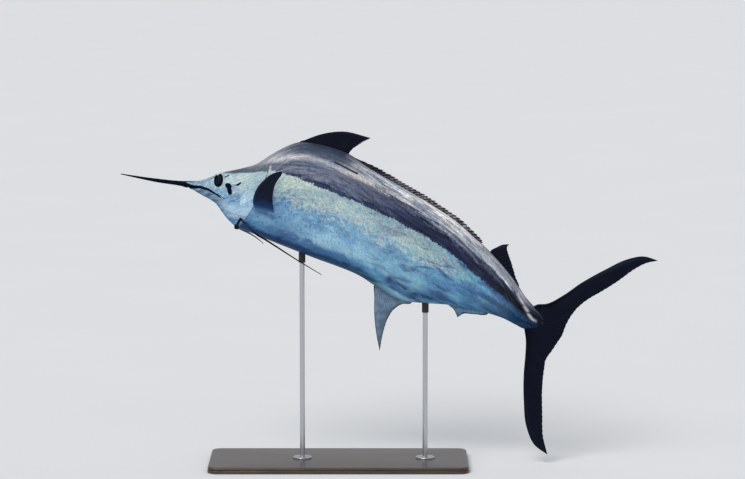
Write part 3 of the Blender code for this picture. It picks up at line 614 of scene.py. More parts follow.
class Value:
    """A number that a node gives: what is worked out from it adds nodes to its paint."""

    def __init__(self, paint, socket):
        self.paint, self.socket = paint, socket

    def __add__(self, other):
        return self.paint.math("ADD", self, other)

    def __mul__(self, other):
        return self.paint.math("MULTIPLY", self, other)

    def most(self, other):
        """The greater of two values."""
        return self.paint.math("MAXIMUM", self, other)

    def centred(self, amount):
        """A noise about its middle, as a shift of the given size."""
        return self.paint.math("MULTIPLY_ADD", self, amount, -amount / 2)

    def step(self, low, high, to_low=0.0, to_high=1.0):
        """A soft step between two values."""
        inputs = {"Value": self, "From Min": low, "From Max": high, "To Min": to_low,
                  "To Max": to_high}
        made = self.paint.node("ShaderNodeMapRange", inputs, interpolation_type="SMOOTHSTEP")
        return Value(self.paint, made.outputs["Result"])


class Paint:
    """A node material: each method adds a node and returns what it gives."""

    def __init__(self, name, metallic=0.0, coat=0.0, coat_roughness=0.05, specular=0.5,
                 sheen=PLAIN):
        self.material = bpy.data.materials.new(name)
        self.material.use_nodes = True
        self.tree = self.material.node_tree
        self.shader = self.tree.nodes["Principled BSDF"]
        for socket, value in (("Metallic", metallic), ("Coat Weight", coat),
                              ("Coat Roughness", coat_roughness),
                              ("Specular IOR Level", specular), ("Specular Tint", sheen)):
            self.feed(self.shader.inputs[socket], value)

    def node(self, kind, inputs=(), **settings):
        """A new node with its settings, and what feeds its inputs by name or number."""
        made = self.tree.nodes.new(kind)
        for name, value in settings.items():
            setattr(made, name, value)
        for name, value in dict(inputs).items():
            self.feed(made.inputs[name], value)
        return made

    def feed(self, socket, value):
        """Link a socket to what a node gives, or set it to a constant."""
        if isinstance(value, Value):
            value = value.socket
        if isinstance(value, bpy.types.NodeSocket):
            self.tree.links.new(value, socket)
        elif socket.type == "RGBA":
            socket.default_value = (*value, 1.0)
        else:
            socket.default_value = value

    def attribute(self, name):
        """A number that the mesh gives for each vertex."""
        made = self.node("ShaderNodeAttribute", attribute_name=name)
        return Value(self, made.outputs["Fac"])

    def mapped(self, source, **inputs):
        return self.node("ShaderNodeMapping", {"Vector": source, **inputs}).outputs["Vector"]

    def place(self, stretch, turn=0.0):
        """Places on the skin, turned and then stretched."""
        source = self.node("ShaderNodeUVMap", uv_map=SKIN_MAP).outputs["UV"]
        if turn:
            source = self.mapped(source, Rotation=(0.0, 0.0, turn))
        return self.mapped(source, Scale=(*stretch, 1.0))

    def solid(self, stretch=PLAIN):
        """Object coordinates, stretched."""
        return self.mapped(self.node("ShaderNodeTexCoord").outputs["Object"], Scale=stretch)

    def noise(self, scale, detail=4.0, roughness=0.6, distortion=0.0, at=None):
        """A noise at given places, or else all through the object."""
        inputs = {"Vector": at or self.solid(), "Scale": scale, "Detail": detail,
                  "Roughness": roughness, "Distortion": distortion}
        return Value(self, self.node("ShaderNodeTexNoise", inputs).outputs["Fac"])

    def scales(self, at, scale):
        """Fish scales, as the distance from the nearest one's edge."""
        made = self.node("ShaderNodeTexVoronoi", feature="DISTANCE_TO_EDGE")
        self.feed(made.inputs["Vector"], at)
        self.feed(made.inputs["Scale"], scale)
        return Value(self, made.outputs["Distance"])

    def math(self, operation, *values):
        made = self.node("ShaderNodeMath", enumerate(values), operation=operation)
        return Value(self, made.outputs["Value"])

    def ramp(self, value, stops, reach=1.0):
        """Colours along a value from 0 to the reach: each stop is a place and a colour."""
        made = self.node("ShaderNodeValToRGB", {"Fac": self.math("DIVIDE", value, reach)})
        colours = made.color_ramp.elements
        for place, _colour in stops[1:-1]:
            colours.new(place / reach)
        for element, (place, colour) in zip(colours, stops):
            element.position = place / reach
            element.color = (*colour, 1.0)
        return made.outputs["Color"]

    def mix(self, factor, first, second, mode="MIX"):
        """Two colours mixed; 6 and 7 are the node's colour inputs, 2 its colour output."""
        made = self.node("ShaderNodeMix", data_type="RGBA", blend_type=mode)
        for socket, value in (("Factor", factor), (6, first), (7, second)):
            self.feed(made.inputs[socket], value)
        return made.outputs[2]

    def over(self, colour, *layers):
        """A colour with others laid over it in turn, each with its factor."""
        for factor, paint in layers:
            colour = self.mix(factor, colour, paint)
        return colour

    def bump(self, height, distance, strength=0.35, under=None):
        inputs = {"Height": height, "Distance": distance, "Strength": strength}
        if under:
            inputs["Normal"] = under
        return self.node("ShaderNodeBump", inputs).outputs["Normal"]

    def finish(self, colour, roughness, normal=None):
        """The material, with what feeds its shader."""
        for socket, value in (("Base Color", colour), ("Roughness", roughness), ("Normal", normal)):
            if value is not None:
                self.feed(self.shader.inputs[socket], value)
        return self.material


# The skin's paints, as linear colours.
TAIL_BLACK = (0.004, 0.006, 0.012)
MIDNIGHT = (0.011, 0.016, 0.04)
INDIGO = (0.026, 0.038, 0.082)
SLATE = (0.095, 0.112, 0.172)
DUSK_GREY = (0.055, 0.066, 0.108)
VIOLET_GREY = (0.15, 0.175, 0.24)
STONE = (0.25, 0.27, 0.32)
PEWTER = (0.335, 0.35, 0.39)
SILVER = (0.44, 0.455, 0.495)
BRIGHT = (0.62, 0.63, 0.665)
# Painted shade at the belly's lower edge.
BELLY_SHADE_NAVY = (0.014, 0.046, 0.13)
DUSK_BLUE = (0.022, 0.074, 0.162)
DEEP_BLUE = (0.054, 0.15, 0.33)
MARINE = (0.082, 0.236, 0.446)
AZURE = (0.15, 0.32, 0.51)
AQUA = (0.205, 0.425, 0.605)
SKY = (0.27, 0.49, 0.67)
PALE_SKY = (0.345, 0.51, 0.67)
HAZE = (0.2, 0.36, 0.53)
TEAL_HAZE = (0.205, 0.345, 0.44)
GREEN_GREY = (0.34, 0.465, 0.51)
MINT = (0.41, 0.525, 0.52)

# Each level of the flank, from the belly up to the band's edge, and of the back above it,
# as (distance along the body, paint).
# EDGE paints shade along the belly's lower edge: navy and dusk blue from 1.2 to 1.6.
EDGE = ((1.2, BELLY_SHADE_NAVY), (1.32, DUSK_BLUE), (1.6, DUSK_BLUE), (1.74, SKY), (1.9, AZURE),
        (2.03, DEEP_BLUE), (2.18, MARINE), (2.42, DUSK_BLUE), (2.6, TAIL_BLACK))
BELT = ((0.85, MARINE), (1.0, DEEP_BLUE), (1.2, DEEP_BLUE), (1.5, MARINE), (2.1, MARINE),
        (2.22, DEEP_BLUE), (2.44, DUSK_BLUE), (2.6, TAIL_BLACK))
GLOW = ((1.02, AZURE), (1.14, SKY), (1.42, SKY), (1.68, AQUA), (1.86, AZURE), (2.08, MARINE),
        (2.38, DUSK_BLUE), (2.6, TAIL_BLACK))
DEEP = ((1.3, AZURE), (1.42, AQUA), (1.54, HAZE), (1.8, AZURE), (2.03, MARINE), (2.15, DEEP_BLUE),
        (2.32, DUSK_BLUE), (2.6, TAIL_BLACK))
CREAM = ((1.18, MINT), (1.34, GREEN_GREY), (1.66, GREEN_GREY), (1.82, MINT), (1.94, GREEN_GREY),
         (2.06, TEAL_HAZE), (2.18, MARINE), (2.34, DEEP_BLUE), (2.46, DUSK_BLUE),
         (2.6, TAIL_BLACK))
RIM = ((1.16, MINT), (1.3, TEAL_HAZE), (1.48, TEAL_HAZE), (1.6, GREEN_GREY), (1.72, MINT),
       (1.81, TEAL_HAZE), (1.9, MARINE), (2.02, MARINE), (2.14, DEEP_BLUE), (2.46, DUSK_BLUE),
       (2.6, TAIL_BLACK))
FOOT = ((0.85, SLATE), (0.98, INDIGO), (1.4, INDIGO), (1.75, MIDNIGHT), (2.38, MIDNIGHT),
        (2.48, INDIGO), (2.6, TAIL_BLACK))
BAND = ((0.85, SLATE), (1.12, VIOLET_GREY), (1.2, VIOLET_GREY), (1.32, SLATE), (1.44, SLATE),
        (1.6, INDIGO), (1.85, MIDNIGHT), (2.16, MIDNIGHT), (2.34, TAIL_BLACK))
MIDDLE = ((1.16, VIOLET_GREY), (1.28, DUSK_GREY), (1.42, SLATE), (1.56, DUSK_GREY), (1.74, SLATE),
          (1.9, VIOLET_GREY), (2.06, SLATE), (2.3, INDIGO), (2.46, TAIL_BLACK))
# SHEEN and CREST are painted reflection: grey sheen and bright highlights of the wet back.
SHEEN = ((0.85, STONE), (0.96, DUSK_GREY), (1.12, SLATE), (1.3, STONE), (1.58, PEWTER),
         (1.75, SILVER), (2.05, PEWTER), (2.33, SILVER), (2.44, SLATE), (2.6, MIDNIGHT))
CREST = ((0.85, VIOLET_GREY), (1.03, INDIGO), (1.22, INDIGO), (1.38, SILVER), (1.46, BRIGHT),
         (1.9, BRIGHT), (2.1, SILVER), (2.3, STONE), (2.48, STONE), (2.6, MIDNIGHT))
FLANK_LEVELS = ((0.0, 0.045, EDGE), (0.08, 0.15, BELT), (0.175, 0.28, GLOW), (0.35, 0.58, DEEP),
                (0.57, 0.81, CREAM), (0.9, 1.0, RIM))
BACK_LEVELS = ((0.0, 0.05, FOOT), (0.05, 0.18, BAND), (0.36, 0.5, MIDDLE), (0.54, 0.66, SHEEN),
               (0.76, 0.88, CREST))

# The cheek and the gill cover by height, from throat to nape.
# Both are darkest at the throat's lower edge, which is painted shade.
CHEEK = ((0.0, DEEP_BLUE), (0.05, AZURE), (0.1, PALE_SKY), (0.22, PALE_SKY), (0.36, AZURE),
         (0.6, GREEN_GREY), (0.85, GREEN_GREY), (1.0, MINT))
COVER = ((0.0, DEEP_BLUE), (0.07, AZURE), (0.14, PALE_SKY), (0.4, PALE_SKY), (0.62, GREEN_GREY),
         (0.82, MINT), (1.0, GREEN_GREY))
INK = (0.002, 0.004, 0.012)
BILL_TOP = (0.001, 0.004, 0.013)
SNOUT = (0.19, 0.31, 0.43)
JAW_DARK = (0.042, 0.105, 0.2)
JAW_PALE = (0.125, 0.235, 0.355)
NAPE_DARK = (0.09, 0.115, 0.16)
NAPE_LIGHT = (0.27, 0.3, 0.345)
# Painted sheen and glints, as pale colour.
PALE_SHEEN_STREAK = (0.46, 0.46, 0.5)
SHADE = (0.042, 0.062, 0.09)
VIOLET = (0.03, 0.03, 0.15)
NAVY = (0.018, 0.05, 0.15)
YELLOW = (0.48, 0.52, 0.42)
PINK = (0.41, 0.42, 0.46)
TEAL = (0.17, 0.42, 0.47)
RIDGE_LINE = (0.05, 0.055, 0.085)
UNDERSIDE = (0.12, 0.18, 0.27)
CHEEK_BLUE = (0.07, 0.18, 0.36)
COVER_BLUE = (0.07, 0.18, 0.37)
FLECK = (0.5, 0.6, 0.62)
NICK = (0.12, 0.22, 0.32)
JAW_GLINT = (0.33, 0.43, 0.54)
# Painted shade in the crease.
CREASE_SHADE = (0.02, 0.025, 0.045)

# Dark and light tints that follow a noise.
HUE_TINT = ((1.03, 0.98, 0.97), (0.95, 1.02, 1.04))
STREAK_TINT = ((0.6, 0.62, 0.67), (1.42, 1.4, 1.36))
CLOUD_TINT = ((0.78, 0.84, 0.9), (1.2, 1.15, 1.08))
FINE_TINT = ((0.82, 0.84, 0.86), (1.2, 1.18, 1.16))
GRAIN_TINT = ((0.8, 0.82, 0.84), (1.22, 1.2, 1.18))

# Colours along a value from 0 to 1: the pectoral fin's reach, the eye's radius, wood grain.
PECTORAL_STOPS = ((0.0, (0.09, 0.21, 0.38)), (0.06, (0.055, 0.145, 0.3)), (0.11,
                  (0.019, 0.056, 0.17)), (0.21, (0.009, 0.025, 0.098)), (0.3,
                  (0.004, 0.008, 0.026)), (1.0, (0.002, 0.003, 0.009)))
EYE_STOPS = ((0.4, (0.001, 0.001, 0.003)), (0.46, (0.013, 0.018, 0.034)), (0.54,
             (0.007, 0.012, 0.028)), (0.72, (0.004, 0.007, 0.018)), (1.0, (0.001, 0.002, 0.006)))
WOOD_STOPS = ((0.25, (0.018, 0.011, 0.008)), (0.5, (0.042, 0.026, 0.017)), (0.66,
              (0.064, 0.04, 0.026)), (0.85, (0.03, 0.018, 0.012)))
ANAL_MOTTLE_DARK = 0.62

# The skin's attributes, and its noises: how far the place is stretched and turned, then
# the noise's scale, detail, roughness and distortion.
SKIN_VALUES = ("along", "height", "band", "flank", "dorsal", "gill", "nape", "under", "lip",
               "mouth", "marks", "crease", "streak", "shade", "fold", "cheek")
SKIN_NOISES = {
    "clouds": ((0.8, 1.2), 0.0, 8.0, 2.0, 0.5, 0.6),
    "medium": ((1.0, 1.6), 0.0, 17.0, 3.0, 0.52, 0.6),
    "fine": ((1.0, 1.25), 0.0, 52.0, 4.0, 0.6, 0.4),
    "grain": ((1.0, 1.0), 0.0, 135.0, 4.0, 0.65),
    "streaks": ((0.12, 1.0), 0.0, 60.0),
    "dashes": ((1.0, 0.55), 0.12, 80.0, 4.0, 0.62, 0.2),
    "hue": ((1.0, 1.2), 0.0, 19.0, 3.0, 0.52, 0.5),
    "slanted": ((0.24, 1.0), 0.3, 27.0, 4.0, 0.5, 0.5),
    "broad": ((0.7, 1.3), 0.0, 22.0, 3.0, 0.6, 0.5),
    "scratch": ((0.07, 1.0), 0.05, 150.0, 4.0, 0.6, 0.3),
}


def levels(p, value, along, tables):
    """Colours blended over a value: each table comes in between two values."""
    colour = p.ramp(along, tables[0][2], BODY_LENGTH)
    for low, high, table in tables[1:]:
        colour = p.mix(value.step(low, high), colour, p.ramp(along, table, BODY_LENGTH))
    return colour


def tint(p, colour, value, shades, strength=1.0):
    """A colour multiplied by a dark or a light tint that follows a noise."""
    return p.mix(strength, colour, p.mix(value.step(0.35, 0.65), *shades), "MULTIPLY")


def flank_colour(p, v):
    """The mottled flank: navy belly edge, pale belt, blue middle and cream below the band."""
    # The navy at the belly's edge is painted shade.
    wander = v.medium.centred(0.74) + v.fine.centred(0.2)
    wander = wander * v.along.step(1.35, 1.85, 1.0, 0.62)
    level = v.flank + wander * v.flank.step(0.12, 0.6, 0.16, 1.0)
    colour = levels(p, level, v.along, FLANK_LEVELS)
    behind = v.along.step(1.2, 1.9)
    light = v.slanted.step(0.5, 0.34) * (behind * 0.7)
    low_half = v.flank.step(0.9, 0.55) * v.flank.step(0.1, 0.3)
    spots = v.dashes.step(0.52, 0.68) * low_half
    cream = level.step(0.56, 0.76) * v.along.step(2.2, 1.75) * 0.3
    nicks = v.dashes.step(0.56, 0.66) * level.step(0.45, 0.7)
    return p.over(colour, (v.slanted.step(0.5, 0.67) * (behind * 0.74), NAVY),
                  (light * v.along.step(2.4, 2.1), TEAL),
                  (spots * v.along.step(1.6, 1.15, 0.12, 0.6), NAVY),
                  (v.hue.step(0.48, 0.64) * cream, YELLOW),
                  (v.hue.step(0.5, 0.36) * cream, PINK), (nicks * 0.45, NICK))


def back_colour(p, v):
    """The back: a dark band at the flank's edge, then streaky violet grey with a painted sheen."""
    shift = v.streaks.centred(0.42) + v.fine.centred(0.22)
    shift = shift * v.along.step(2.5, 2.2, 0.3, 1.0)
    lift = v.along.step(1.55, 2.1, -0.035, 0.03) * v.dorsal.step(0.15, 0.35)
    level = v.dorsal + (shift + lift)
    colour = levels(p, level, v.along, BACK_LEVELS)
    violet = v.broad.step(0.53, 0.64) * level.step(0.6, 0.34)
    colour = p.mix(violet * v.along.step(2.35, 2.15, 0.0, 0.45), colour, VIOLET)
    colour = tint(p, colour, v.streaks, STREAK_TINT)
    # Over it: dark scratches, painted sheen and glints, and the dark ridge line.
    return p.over(colour, (v.scratch.step(0.54, 0.66) * 0.5, SHADE),
                  (v.streak * v.scratch.step(0.66, 0.48, 0.45, 1.0), PALE_SHEEN_STREAK),
                  (v.dorsal.step(0.965, 0.995) * v.along.step(0.9, 1.08), RIDGE_LINE))


def face_colour(p, v):
    """The head: pale blue-green cheek, mottled throat, grey nape, dusky lower jaw."""
    level = v.height + (v.medium.centred(0.34) + v.fine.centred(0.16))
    blue = v.medium.step(0.5, 0.62) * v.height.step(0.65, 0.3, 0.1, 0.5)
    cheek = p.mix(blue, p.ramp(level, CHEEK), CHEEK_BLUE)
    low_blue = v.medium.step(0.52, 0.62) * v.height.step(0.34, 0.18, 0.0, 0.3)
    cover = p.mix(low_blue, p.ramp(level, COVER), COVER_BLUE)
    behind = (v.cheek + v.fine.centred(0.012)).step(-0.002, 0.003)
    colour = p.mix(v.along.step(0.58, 0.46), p.mix(behind, cheek, cover), SNOUT)
    flecks = v.fine.step(0.54, 0.66) * behind.step(0.0, 1.0, 0.55, 0.25)
    colour = p.mix(flecks, colour, FLECK)
    over_nape = v.nape + v.fine.centred(0.016)
    pale = (over_nape + v.streaks.centred(0.03)).step(0.01, 0.04)
    colour = p.mix(over_nape.step(-0.004, 0.004), colour, p.mix(pale, NAPE_DARK, NAPE_LIGHT))
    jaw = p.mix(v.medium.step(0.42, 0.58), JAW_DARK, JAW_PALE)
    jaw = p.mix(v.streaks.step(0.52, 0.64) * 0.75, jaw, JAW_GLINT)
    return p.mix(v.mouth.step(0.001, -0.002) * v.along.step(0.66, 0.56), colour, jaw)


def skin_material():
    """The skin: cream and blue flank under a dark back, with the head's marks."""
    p = Paint("skin", coat=0.04, coat_roughness=0.16)
    v = SimpleNamespace(**{name: p.attribute(name) for name in SKIN_VALUES})
    for name, (stretch, turn, *noise) in SKIN_NOISES.items():
        setattr(v, name, p.noise(*noise, at=p.place(stretch, turn)))

    side = tint(p, flank_colour(p, v), v.hue, HUE_TINT)
    side = p.mix(v.under.step(0.955, 1.0), side, UNDERSIDE)
    ragged = v.band + v.dashes.centred(0.046) + v.medium.centred(0.016)
    colour = p.mix(ragged.step(-0.003, 0.003), side, back_colour(p, v))
    torn = v.streaks.centred(0.26) * v.height.step(0.9, 0.97) + v.medium.centred(0.01)
    colour = p.mix((v.gill + torn).step(0.01, -0.004), colour, face_colour(p, v))
    # Painted shade in the skin folds.
    colour = p.mix(v.fold * v.medium.step(0.36, 0.56, 0.6, 1.0), colour, NAVY)
    # Painted shade from the shade strokes.
    colour = p.mix(v.shade * v.streaks.step(0.36, 0.6, 1.0, 0.55), colour, SHADE)
    colour = tint(p, colour, v.clouds, CLOUD_TINT)
    grainy = v.height.step(0.1, 0.42, 0.35, 1.0)
    colour = tint(p, colour, v.fine, FINE_TINT, grainy)
    colour = tint(p, colour, v.grain, GRAIN_TINT, grainy)
    # Painted shade in the crease.
    colour = p.mix(v.crease.step(0.003, -0.0015), colour, CREASE_SHADE)
    dark = v.lip.step(-0.0012, 0.0012)
    mark = (v.marks + v.fine.centred(0.012)).step(0.0016, -0.0016)
    colour = p.mix(mark, p.mix(dark, colour, BILL_TOP), INK)

    scales = p.scales(p.place((0.42, 1.0)), 190.0) * v.along.step(0.6, 0.84)
    relief = p.bump(v.grain, 0.001, under=p.bump(scales, 0.0032))
    matt = dark.most(mark).most(v.along.step(2.35, 2.5)).most(v.band.step(-0.004, 0.01) * 0.6)
    matt = matt.most(v.flank.step(0.22, 0.06, 0.0, 0.9))
    p.feed(p.shader.inputs["Specular IOR Level"], matt.step(0.0, 1.0, 0.32, 0.03))
    p.feed(p.shader.inputs["Coat Weight"], matt.step(0.0, 1.0, 0.06, 0.0))
    return p.finish(colour, v.medium * 0.2 + 0.26, relief)


def skin_grid():
    """Distances, angles and the straight ring values of the skin's corners."""
    front = np.arange(0.0, BILL_TO, BILL_STEP)
    head = np.arange(BILL_TO, HEAD_TO + GILL_RINGS[0] - HEAD_STEP / 2, HEAD_STEP)
    gill = HEAD_TO + np.array(GILL_RINGS)
    trunk = np.linspace(gill[-1], BODY_LENGTH, round((BODY_LENGTH - gill[-1]) / TRUNK_STEP))
    rings = np.concatenate((front, head, gill, trunk[1:]))
    turns = math.pi + 2 * math.pi * np.arange(SKIN_CORNERS) / SKIN_CORNERS
    ring, angle = np.meshgrid(rings, turns, indexing="ij")
    return ring, angle, bowed(ring, angle)


def gill_relief(ring, angle):
    """The gill cover stands up to its margin, and the opening lies in behind it."""
    turn = np.arccos(np.cos(angle))
    on_margin = (smooth(turn, GILL_TOP, GILL_TOP + GILL_TOP_FADE)
                 * smooth(turn, GILL_FOOT, GILL_FOOT - GILL_FOOT_FADE))
    ahead = HEAD_TO - ring
    lift = GILL_LIFT * np.exp(-np.clip(ahead, 0.0, None) / GILL_LIFT_REACH)
    sink = -GILL_SINK * np.exp(-np.clip(-ahead, 0.0, None) / GILL_SINK_REACH)
    edge = smooth(ahead, *GILL_EDGE)
    return on_margin * (sink * (1 - edge) + lift * edge)


def eye_distance(dx, dz):
    """How far outside the eye's leaning oval a place lies, in metres."""
    wide, tall, _deep = EYE_HALVES
    u = dx * math.cos(EYE_LEAN) + dz * math.sin(EYE_LEAN)
    v = dz * math.cos(EYE_LEAN) - dx * math.sin(EYE_LEAN)
    return (np.hypot(u / wide, v / tall) - 1) * (wide + tall) / 2


def skin_relief(ring, angle, s, points):
    """How far the skin stands out from the plain body, and the marks' distances."""
    x, across, z = points[..., 0], abs(points[..., 1]), points[..., 2]
    relief = gill_relief(ring, angle)
    found = {name: np.zeros(ring.shape) for name in ("streak", "shade", "fold")}

    mouth, side = stroke_distance(points, MOUTH_LINE)
    found["mouth"] = mouth * side
    corner = MOUTH_LINE[-1][0]
    fade = smooth(x, corner + MOUTH_FADE[0], corner + MOUTH_FADE[1])
    relief -= MOUTH_DEPTH * bell(mouth, MOUTH_HALF) * (MOUTH_END + (1 - MOUTH_END) * fade)
    for lip in (-LIP_AT, LIP_AT):
        relief += LIP_HEIGHT * bell(found["mouth"] - lip, LIP_HALF) * fade

    eye = eye_distance(x - EYE_CENTRE[0], z - EYE_CENTRE[1])
    relief += ORBIT_HEIGHT * bell(eye - ORBIT_GAP, ORBIT_HALF)
    relief -= SOCKET_DEPTH * smooth(eye, *SOCKET_EDGE)
    marks = EYE_CRISPNESS * (eye - EYE_RIM) + EYE_OFF_CROWN * smooth(across, *EYE_CLEAR)
    for (at_x, at_z), radius in NOSTRILS:
        pit = np.hypot(x - at_x, z - at_z)
        relief += NOSTRIL_RIM * bell(pit - 1.6 * radius, 0.5 * radius)
        relief -= NOSTRIL_DEPTH * smooth(pit, 1.15 * radius, 0.55 * radius)
        marks = np.minimum(marks, pit - NOSTRIL_MARK)
    for line, half in HEAD_MARKS:
        marks = np.minimum(marks, stroke_distance(points, line)[0] - half)
    found["marks"] = marks

    edge, side = stroke_distance(points, plane_line(BRANCHIAL_EDGE))
    signed = edge * side
    reach = smooth(s, *BRANCHIAL_FROM) * smooth(s, *BRANCHIAL_TO)
    stand = np.where(signed > 0.0, np.exp(-signed / BRANCHIAL_RISE),
                     -np.exp(signed / BRANCHIAL_FALL))
    relief += BRANCHIAL_STEP * reach * stand * smooth(edge, 0.0, BRANCHIAL_SHARP)
    bone, side = stroke_distance(points, plane_line(PREOPERCLE))
    relief -= PREOPERCLE_DEPTH * bell(bone, PREOPERCLE_HALF)
    found["cheek"] = bone * side

    crease = stroke_distance(points, plane_line(CREASE))[0]
    relief -= CREASE_DEPTH * bell(crease, CREASE_SOFT)
    found["crease"] = crease - CREASE_HALF
    strokes = [(name, plane_line(line), *rest) for name, line, *rest in FLANK_STROKES]
    for name, line, half, strength in (*strokes, *PLANE_STROKES):
        stroke = strength * bell(stroke_distance(points, line)[0], half)
        found[name] = np.maximum(found[name], stroke)
    found["fold"] *= 1 - FOLD_SHADOW_FADE * smooth(s, *FOLD_SHADOW_FADE_AT)

    groove = smooth(s, *GROOVE_FROM) * smooth(s, *GROOVE_TO) * (np.cos(angle) > 0.0)
    relief += groove * (GROOVE_LIP * bell(across - GROOVE_LIP_AT, GROOVE_HALF)
                        - GROOVE_DEPTH * bell(across, GROOVE_HALF))
    ring_pit = bell(s - STATION[TAIL_PIT_STATION] - TAIL_PIT_BEHIND, TAIL_PIT_HALF)
    relief -= TAIL_PIT_DEPTH * smooth(angle % math.pi, 0.0, TAIL_PIT_CLEAR) * ring_pit
    return relief, found


def above(marks, s, height):
    """How far above a marking line a point lies, in metres, and the line's height share."""
    table = np.array(marks)
    back, belly, _half = section(s)
    line = np.interp(s, table[:, 0], table[:, 1])
    return (height - line) * np.linalg.norm(back - belly, axis=-1), line


def corner_map(mesh, name, u, v, seam_v):
    """A UV map of the skin's grid; the ring's last face ends at seam_v, not at its start."""
    rings, corners = u.shape
    vertex = np.empty(len(mesh.loops), np.int32)
    mesh.loops.foreach_get("vertex_index", vertex)
    starts = np.empty(len(mesh.polygons), np.int32)
    mesh.polygons.foreach_get("loop_start", starts)
    at = tube_vertices(np.stack((u, v), axis=-1))[vertex]
    last = starts[np.arange((rings - 1) * corners).reshape(rings - 1, corners)[:, -1]]
    at[last + 1, 1] = seam_v[:-1]
    at[last + 2, 1] = seam_v[1:]
    layer = mesh.uv_layers.new(name=name)
    layer.uv.foreach_set("vector", at.astype(np.float32).ravel())


def make_skin():
    """One closed skin from the bill's tip to the tail's root."""
    ring, angle, s = skin_grid()
    plain = body_points(s, angle)
    relief, found = skin_relief(ring, angle, s, plain)
    mesh = mesh_of("skin", tube_vertices(body_points(s, angle, relief)), tube_faces(*ring.shape))

    height = height_share(s, plain)
    band, line = above(BAND_EDGE, s, height)
    over_nape = np.where(s < NAPE_LINE[0][0], -0.05, above(NAPE_LINE, s, height)[0])
    found.update(along=s, height=height, band=band, flank=height / line,
                 dorsal=(height - line) / (1 - line), gill=ring - HEAD_TO, nape=over_nape,
                 under=np.arccos(np.cos(angle)) / math.pi, lip=lip_value(plain, found["mouth"]))
    for name in SKIN_VALUES:
        set_attribute(mesh, name, tube_vertices(found[name][..., None]))

    gap = np.linalg.norm(np.diff(plain, axis=1, append=plain[:, :1]), axis=-1)
    around = np.cumsum(gap, axis=1)
    start = around[:, -1] / 2
    arc = np.concatenate((-start[:, None], around[:, :-1] - start[:, None]), axis=1)
    corner_map(mesh, SKIN_MAP, s, arc, start)
    rings, corners = ring.shape
    u, v = np.meshgrid(np.linspace(BAKE_MARGIN, 1 - BAKE_MARGIN, rings),
                       BAKE_MARGIN + (1 - 2 * BAKE_MARGIN) * np.arange(corners) / corners,
                       indexing="ij")
    corner_map(mesh, "OFBake", u, v, np.full(rings, 1 - BAKE_MARGIN))
    mesh.uv_layers[SKIN_MAP].active = True
    piece("skin", mesh, skin_material(),
          ("bill", "head", "lower_jaw", "gill_cover_left", "gill_cover_right", "torso_front",
           "torso_rear", "tail_stock"))


def lip_value(points, mouth):
    """Above zero where the bill's dark colour lies: all the bill, and a strip over the mouth."""
    x, z = points[..., 0], points[..., 2]
    table = np.array(LIP_DARK)
    strip = np.interp(x, table[:, 0], table[:, 1], right=0.0)
    over_mouth = np.minimum(strip - mouth, mouth + LIP_BELOW)
    over_mouth = np.where(x < LIP_DARK[-1][0], over_mouth, -OUTSIDE)
    taper = CROWN_HALF * (1 - smooth(x, *CROWN_TAPER))
    crown = np.minimum(z - CROWN_LEVEL, taper - abs(points[..., 1]))
    bill = np.where(mouth > -JAW_CLEAR, BILL_DARK_TO - x, -OUTSIDE)
    bill = np.where(x < MOUTH_LINE[0][0] + BILL_ALL_DARK, OUTSIDE, bill)
    return np.maximum(np.maximum(over_mouth, crown), bill)


def lerp(first, second, share):
    """A point part way between two."""
    return first + (second - first) * share[..., None]


def two_faces(middle, half, way=LEFT):
    """The two faces about a fin's middle surface."""
    return [middle + way * (half * side)[..., None] for side in (1, -1)]


def fin_shape(fin, leading, trailing, side_way=LEFT):
    """The two faces of a fin as grids of points, and its attributes."""
    count = fin["rays"]
    columns = count * RAY_COLUMNS + 1
    ray, out = np.meshgrid(np.linspace(0.0, 1.0, columns), np.linspace(0.0, 1.0, fin["rows"] + 1))
    root_share, end_share = fin.get("root_share", 1.0), fin.get("end_share", 0.05)
    ridge = (0.5 + 0.5 * np.cos(2 * math.pi * ray * count)) ** RAY_SHARPNESS
    ragged = np.random.default_rng(count).uniform(*RAGGED, count + 1)
    dip = fin["notch"] * (1 - ridge) * np.repeat(ragged, RAY_COLUMNS)[:columns]
    short = out * (1 - dip * smooth(out, *NOTCH_FROM) * smooth(ray, 0.0, WHOLE_EDGE))
    span = short * (1 - (1 - end_share) * ray)
    start = root_share * ray
    swing = short ** (1 + RAY_SWEEP * (1 - ray))
    chord = np.where(ray > 0.0, start + (1 - start) * swing, 0.0)
    middle = lerp(through(leading, span), through(trailing, span), chord)
    body = fin["root_half"] * np.clip(1 - span, 0.0, 1.0) ** FIN_TAPER * (1 - REAR_THINNING * chord)
    body *= FRONT_HALF + (1 - FRONT_HALF) * np.sqrt(np.clip(ray * count / FRONT_RAYS, 0.0, 1.0))
    body *= 1 - RIM_THINNING * smooth(out, *RIM_FROM)
    membrane = fin.get("membrane", MEMBRANE_SHARE)
    half = FIN_EDGE_HALF + body * (membrane + (1 - membrane) * ridge)
    rim = np.linalg.norm(middle - middle[-1:], axis=-1)
    marks = {"out": out, "chord": chord, "ridge": ridge, "rim": rim, "reach": span}
    return two_faces(middle, half, side_way), marks


